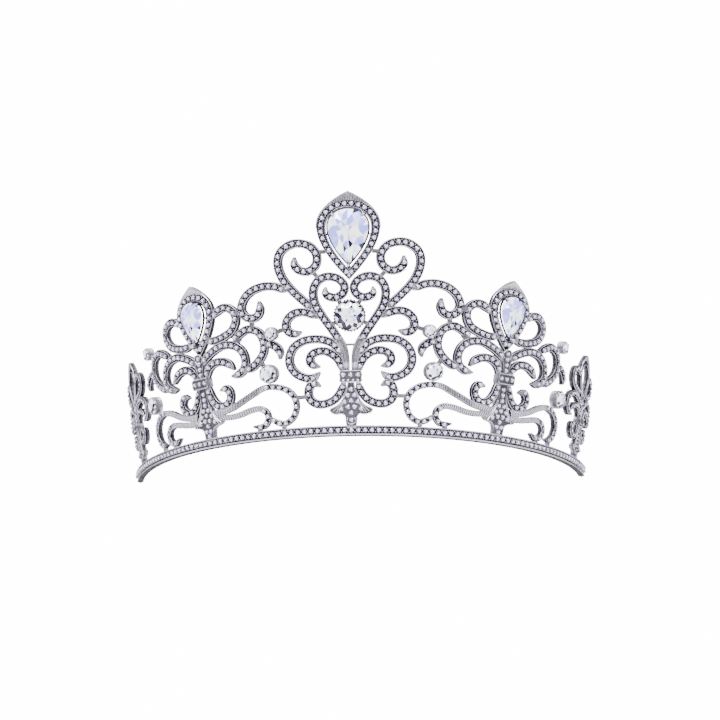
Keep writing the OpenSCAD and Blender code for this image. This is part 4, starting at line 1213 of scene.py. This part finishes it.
def claw_path(foot, lean_in, top):
    """A claw rises from its foot and bends over the stone's edge by lean_in."""
    foot, lean_in = np.array(foot, float), np.array(lean_in, float)
    path, radii = [], []
    for s in np.linspace(0, 1, 12):
        over = max(0.0, (s - CLAW_BEND) / CLAW_CURL)
        xy = foot[:2] + lean_in * over ** 1.4
        path.append([xy[0], xy[1], foot[2] + (top - foot[2]) * min(1.0, s / CLAW_RISE)])
        swell = (1.12 if 0.8 < s < 0.97 else 1.0) * (0.55 if s > 0.99 else 1)
        radii.append(CLAW_D / 2 * (1 - 0.25 * s) * swell)
    return path, radii


def finished(name, work, transform, shade=0.0, deep=-0.2):
    """The work as a piece. Painted shade, as strong as the shade, darkens its sides and what lies deep in it;
    faces turned back get a quarter of it.
    """
    recess = work.verts.layers.float.new("recess")
    bmesh.ops.recalc_face_normals(work, faces=work.faces)
    work.normal_update()
    for v in work.verts:
        # Painted shade: darker as a face turns away from the front
        sideways = min(1.0, max(0.0, (0.9 - v.normal.z) / 0.3))
        v[recess] = shade * (0.25 if v.normal.z < -0.3 else 1.0 if v.co.z < deep else sideways)
    bmesh.ops.transform(work, matrix=transform, verts=work.verts)
    mesh = mesh_of(name, work)
    mesh.materials.append(silver)
    return outwards(piece(name, mesh), 40)


def pear_basket(name, spot, gem):
    """Two wire rings below a pear stone, and the claws that hold it."""
    w, l = gem
    work = bmesh.new()
    back_z, steps = -METAL_T - GEM_LIFT, 72
    for grow, z in ((0.05, back_z + 0.42), (0.12, -0.55)):
        ring = [[*grown_pear(w, l, t, grow), z] for t in np.linspace(0, 2 * math.pi, steps, endpoint=False)]
        wire(work, ring, [0.34] * steps, closed=True, sides=8)
    for place, small in CLAW_PLACES:
        p = grown_pear(w, l, math.radians(place), CLAW_D * 0.45)
        inwards = -p / np.linalg.norm(p) * 0.55
        top = -0.25 if small else 0.05 * w + 0.25
        path, radii = claw_path([p[0], p[1], back_z + 0.05], inwards * (0 if small else 1), top)
        if small:
            path, radii = path[:-1], radii[:-1]
        wire(work, path, [r * (0.7 if small else 1.15) for r in radii])
        if not small:
            stretch = 2.0 if place == 0 else 1.0
            middle = p + inwards * (1.1 + 0.4 * (stretch - 1))
            bead = Matrix.Translation((*middle, top)) @ Matrix.Diagonal((1, stretch, 0.8, 1))
            bmesh.ops.create_icosphere(work, subdivisions=2, radius=BEAD_R, matrix=bead)
    # Painted shade on the wires and on the claws' lower parts, so that the claws show as dark rings with bright
    # tops
    return finished(name, work, at_shell(spot, METAL_T + GEM_LIFT), 0.95, 0.4)


def collet(name, spot, d, lift, back, teeth, claws):
    """A round cup with a beaded edge, and small claws over the stone."""
    seat_r, wall = d / 2 + 0.02, 0.35
    floor_z = -0.43 * d if back > 0.45 * d else -back + 0.1
    work = bmesh.new()
    profile = [(0.0, -back), (seat_r + wall - 0.15, -back), (seat_r + wall, -back + 0.15),
               (seat_r + wall, -0.06 * d), (seat_r + wall - 0.08, 0.03 * d), (seat_r + 0.12, 0.07 * d),
               (seat_r, 0.05 * d), (seat_r - 0.03, -0.03 * d), (0.1 * d, floor_z), (0.0, floor_z)]
    steps = 48
    turned = [[work.verts.new((r * math.cos(a), r * math.sin(a), z)) for r, z in profile]
              for a in np.linspace(0, 2 * math.pi, steps, endpoint=False)]
    for i in range(steps):
        a, b = turned[i], turned[(i + 1) % steps]
        for j in range(len(profile) - 1):
            work.faces.new([a[j], b[j], b[j + 1], a[j + 1]])
    bmesh.ops.remove_doubles(work, verts=work.verts, dist=1e-5)
    bmesh.ops.dissolve_degenerate(work, edges=work.edges, dist=1e-6)
    bead_ring = seat_r + wall - 0.05
    for i in range(teeth):
        a = 2 * math.pi * i / teeth
        at = Matrix.Translation((bead_ring * math.cos(a), bead_ring * math.sin(a), -0.03 * d))
        radius = min(0.36, 1.1 * math.pi * seat_r / teeth)
        bmesh.ops.create_icosphere(work, subdivisions=2, radius=radius, matrix=at)
    for i in range(claws):
        a = 2 * math.pi * (i + 0.5) / claws
        p = np.array([math.cos(a), math.sin(a)]) * (seat_r + 0.12)
        path, radii = claw_path([p[0], p[1], -0.5 * back], -p / np.linalg.norm(p) * 0.42, 0.05 * d + 0.22)
        wire(work, path, [r * (0.55 + 0.03 * d) for r in radii])
    # Painted shade: the heart's collet is dark below its beaded rim, the small cups a little less
    return finished(name, work, at_shell(spot, METAL_T + lift), 0.95 if teeth else 0.6, 0.03 * d)


HEART_D, HEART_LIFT, LINK_LIFT = 8.2, 0.6, 0.5
crest_spot, heart_spot = (0.0, CREST_Z + STONE_RISE), (0.0, 33.1)
seat(pear_basket("crest_basket_metal", crest_spot, CREST_GEM), SILVER, "crest_basket")
for side, word in SIDES:
    spot = (side * UPPER_AXIS, SIDE_Z + STONE_RISE)
    seat(pear_basket(f"{word}_side_basket_metal", spot, SIDE_GEM), SILVER, f"{word}_side_basket")
seat(collet("heart_collet_metal", heart_spot, HEART_D, HEART_LIFT, HEART_D / 2, 30, 6),
     SILVER, "heart_collet")
cups = []
for side in (-1, 1):
    for i, (s, z, d) in enumerate(LINKS):
        cups.append(collet(f"cup_{i}_{side}", (side * s, z), d, LINK_LIFT, max(METAL_T + LINK_LIFT, d / 2), 0,
                           4 if d < 4 else 6))
seat(joined("connector_collets_metal", cups), SILVER, "connector_collets")
print("settings: 3 baskets and", 1 + len(cups), "collets")

# %% [markdown]
# ### Ridges on the bells
# The wings of each bell carry curved ridges that run down to its lower edge, and its drop has a rim round the
# last stone. These are thin wires, half sunk in the plate.

# %% Ridges
RIDGES = [[[1.3, 12.6], [2.1, 10.3], [3.3, 8.6], [4.9, 7.1]],
          [[1.9, 10.4], [2.6, 9], [3.4, 7.9], [4.2, 6.7]],
          [[2.3, 9.2], [2.8, 8], [3.2, 7.3], [3.3, 6.4]]]
DROP_R, DROP_Z = 1.15, 4.6
DROP_RING = [[DROP_R * math.cos(a), DROP_Z + DROP_R * math.sin(a)]
             for a in 0.5 * math.pi - np.linspace(0.3, 1.7, 9) * math.pi]
BELLS = ((0, 1.0), (-SIDE_AXIS, 1.0), (SIDE_AXIS, 1.0), (-REAR_AXIS, REAR_SCALE), (REAR_AXIS, REAR_SCALE))


def ridge_wires(work, axis, size):
    for side in (-1, 1):
        for line in RIDGES:
            path = placed(smooth(line, 0.4), side, 0, size) + [axis, 0]
            raised = skin(path) + directions(path)[1] * (METAL_T - 0.05)
            wire(work, raised, [0.17 * size] * len(path), sides=8)


ridges = bmesh.new()
for axis, size in BELLS:
    ridge_wires(ridges, axis, size)
ring = np.array(DROP_RING)
wire(ridges, skin(ring) + directions(ring)[1] * (METAL_T - 0.02), [0.2] * len(ring), sides=8)
seat(finished("bell_ridges", ridges, Matrix.Scale(MM, 4)), SILVER)
print("ridges on", len(BELLS), "bells")

# %% [markdown]
# ### The points of the frames
# The point above each pear frame is smooth metal that a tool has covered with fine dots, inside a thin
# rounded rim. The dots stand in upright lines from the frame's outer rim to the edge of the point, so that their
# number follows the curve of the edge.

# %% Frame points
POINT_PITCH, POINT_REACH = 0.37, 5.0


def point_rim(work, axis, centre, w, l, size):
    """A thin wire round the edge of a frame's point."""
    t = np.linspace(0.6, 1.4, 61) * math.pi
    q = grown_pear(w, l, t, FRAME_HALF - 0.08)
    height = centre + q[:, 1] + point_reach(q[:, 0], w)
    line = np.stack([axis + size * q[:, 0], BAND_H + size * (height - BAND_H)], -1)
    wire(work, skin(line) + directions(line)[1] * (METAL_T - 0.08), [0.19 * size] * len(t), sides=8)


def point_grid(axis, centre, w, l, size):
    """The places of the dots on a frame's point."""
    t = np.linspace(1.5, 0.5, 81) * math.pi
    outer = grown_pear(w, l, t, FRAME_HALF)
    order = np.argsort(outer[:, 0])
    places = []
    for x in np.arange(-POINT_REACH, POINT_REACH + 0.01, POINT_PITCH):
        low = np.interp(x, outer[order, 0], outer[order, 1])
        for y in np.arange(low - 0.12, low + point_reach(x, w) - 0.3, POINT_PITCH):
            places.append([axis + size * x, BAND_H + size * (centre + y - BAND_H), size, METAL_T - 0.06])
    return places


edges, point_dots = bmesh.new(), []
for at in ((0, CREST_Z, CREST_W, CREST_L, 1.0), (-UPPER_AXIS, SIDE_Z, SIDE_W, SIDE_L, 1.0),
           (UPPER_AXIS, SIDE_Z, SIDE_W, SIDE_L, 1.0), (-REAR_AXIS, SIDE_Z, SIDE_W, SIDE_L, REAR_SCALE),
           (REAR_AXIS, SIDE_Z, SIDE_W, SIDE_L, REAR_SCALE)):
    point_rim(edges, *at)
    point_dots += point_grid(*at)
seat(finished("point_rims", edges, Matrix.Scale(MM, 4)), SILVER)
seat(outwards(dotted("point_dots", point_dots, dot, grain_silver), 60), SILVER)
print("dots on the frame points:", len(point_dots))

# %% Large stones
def set_gem(made, spot, lift, name, *nodes):
    """Moves a cut stone to its setting. The stone is cut about its own origin, in metres."""
    made.data.transform(at_shell(spot, lift) @ Matrix.Scale(1 / MM, 4))
    made.data.materials.append(backed_crystal)
    made.name = made.data.name = name
    return seat(made, CRYSTAL, *nodes)


def pear_gem(name, gem, spot, node):
    w, l = gem
    levels = [(0.02 * w, 1), (0.105 * w, 0.80), (0.16 * w, 0.56)]
    depth = METAL_T + GEM_LIFT - 0.3 + 0.02 * w
    made = cut_stone(name, pear_outline(w, l), 14, levels, (0, 0.07 * l), depth, pear_look(l, 5))
    return set_gem(made, spot, METAL_T + GEM_LIFT, name, node)


pear_gem("crest_stone", CREST_GEM, crest_spot, "crest_gem")
for side, word in SIDES:
    pear_gem(f"{word}_side_stone", SIDE_GEM, (side * UPPER_AXIS, SIDE_Z + STONE_RISE), f"{word}_side_gem")


def round_gem(name, d, n):
    return cut_stone(name, round_outline(d), n, [(0.02 * d, 1), (0.10 * d, 0.80), (0.16 * d, 0.56)],
                     (0, 0), 0.44 * d, round_look(7))


set_gem(round_gem("heart_stone", HEART_D, 12), heart_spot, METAL_T + HEART_LIFT, "heart_stone", "heart_gem")
links = []
for side in (-1, 1):
    for i, (s, z, d) in enumerate(LINKS):
        made = round_gem(f"link_{i}_{side}", d, 8)
        made.data.transform(at_shell((side * s, z), METAL_T + LINK_LIFT) @ Matrix.Scale(1 / MM, 4))
        made.data.materials.append(backed_crystal)
        links.append(made)
seat(joined("connector_stones", links), CRYSTAL, "connector_gems")
print("large stones:", 4 + len(links))

# %% [markdown]
# ## Pin loops and bridges
# The end loops are plain eyelets of round wire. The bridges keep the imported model's own shapes, and only get
# the silver finish.

# %% Loops and bridges
LOOP_HOLE, LOOP_WALL = 1.1, 0.8
loop_r = LOOP_HOLE + LOOP_WALL / 2
work = bmesh.new()
for side in (-1, 1):
    a = side * (BAND_REACH + LOOP_HOLE + LOOP_WALL - 0.4) / HEAD_R
    radial, along = np.array([math.sin(a), -math.cos(a), 0]), np.array([math.cos(a), math.sin(a), 0])
    centre = radial * (HEAD_R + BAND_T / 2) + np.array([0, 0, LOOP_HOLE + LOOP_WALL])
    path = [centre + loop_r * (math.cos(t) * along + math.sin(t) * np.array([0, 0, 1]))
            for t in np.linspace(0, 2 * math.pi, 40, endpoint=False)]
    wire(work, path, [LOOP_WALL / 2] * 40, closed=True, sides=12)
eyelets = finished("pin_loops_metal", work, Matrix.Scale(MM, 4))
seat(eyelets, SILVER, "pin_loops")
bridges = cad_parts["bridges"]
bridges.data.materials.clear()
bridges.data.materials.append(grain_silver)
for used in (channel, band_section, small_stone, grains, rib, dot, dot_row):
    bpy.data.objects.remove(used)
print("eyelets and bridges done")

# %% [markdown]
# ## Studio
# A plain pale floor lies well below the tiara, because the camera looks up at it. Metal and cut stones show
# what is round them, so the studio has large soft lights with dark gaps between them.

# %% Floor
floor_mesh = bpy.data.meshes.new("floor")
FLOOR_Z, FLOOR_R, FLOOR_SIDES = -0.26, 0.7, 96
floor_mesh.from_pydata([(FLOOR_R * math.cos(a), FLOOR_R * math.sin(a), FLOOR_Z)
                        for a in np.linspace(0, 2 * math.pi, FLOOR_SIDES + 1)[:-1]],
                       [], [list(range(FLOOR_SIDES))])
floor = piece("floor", floor_mesh)
floor_paint, floor_graph, floor_shader = new_material("pale floor")
floor_place = floor_graph.add("ShaderNodeTexCoord", output="Object")
floor_cloud = floor_graph.add("ShaderNodeTexNoise", None, {"Vector": floor_place, "Scale": 3.0}, "Fac")
floor_graph.give(floor_shader.inputs["Base Color"], floor_graph.add(
    "ShaderNodeMix", {"data_type": "RGBA"},
    {"Factor": floor_cloud, "A": (0.90, 0.90, 0.91, 1), "B": (0.94, 0.94, 0.94, 1)}, "Result"))
floor_shader.inputs["Roughness"].default_value = 0.9
floor_mesh.materials.append(floor_paint)

# %% World
world = bpy.data.worlds.new("studio")
bpy.context.scene.world = world
world.use_nodes = True
sky = Graph(world.node_tree)
DIM, BRIGHT, LOW, WHITE = 0.05, 2.6, 0.2, 16.0
seen = sky.add("ShaderNodeLightPath", output="Is Camera Ray")
way = sky.add("ShaderNodeTexCoord", output="Generated")
patches = sky.add("ShaderNodeTexNoise", None, {"Vector": way, "Scale": 2.4, "Detail": 1.0}, "Fac")
split = sky.node("ShaderNodeSeparateXYZ", None, {0: way})
forward, upward = Field(sky, split.outputs["Y"]), Field(sky, split.outputs["Z"])
open_sky = ((forward + 0.80) * 4.0).least(1.0).most(0.0)
above = ((upward + 0.05) * 6.0).least(1.0).most(0.0)
lit = ((patches - 0.46) * 9.0).least(1.0).most(0.0)
glow = DIM + open_sky * (above * (0.12 + BRIGHT * lit) + (1 - above) * LOW * lit)
strength = seen * WHITE + (1 - seen) * glow
backdrop = world.node_tree.nodes["Background"]
backdrop.inputs["Color"].default_value = (0.97, 0.97, 1.0, 1)
sky.give(backdrop.inputs["Strength"], strength)


# %% Lights
def softbox(name, place, size, power):
    """A rectangular light aimed at the middle of the tiara."""
    data = bpy.data.lights.new(name, "AREA")
    data.shape, data.size, data.size_y, data.energy = "RECTANGLE", size[0], size[1], power
    made = piece(name, data)
    made.location = place
    made.rotation_euler = (AIM - Vector(place)).to_track_quat("-Z", "Y").to_euler()


softbox("key", (-0.35, -1.1, 0.95), (0.6, 0.6), 20)
softbox("fill", (0.55, -1.1, 0.75), (0.5, 0.6), 8)
softbox("top", (0, -0.1, 1.3), (0.8, 0.4), 9)
softbox("rear", (0.3, 1.2, 0.5), (0.9, 0.5), 7)
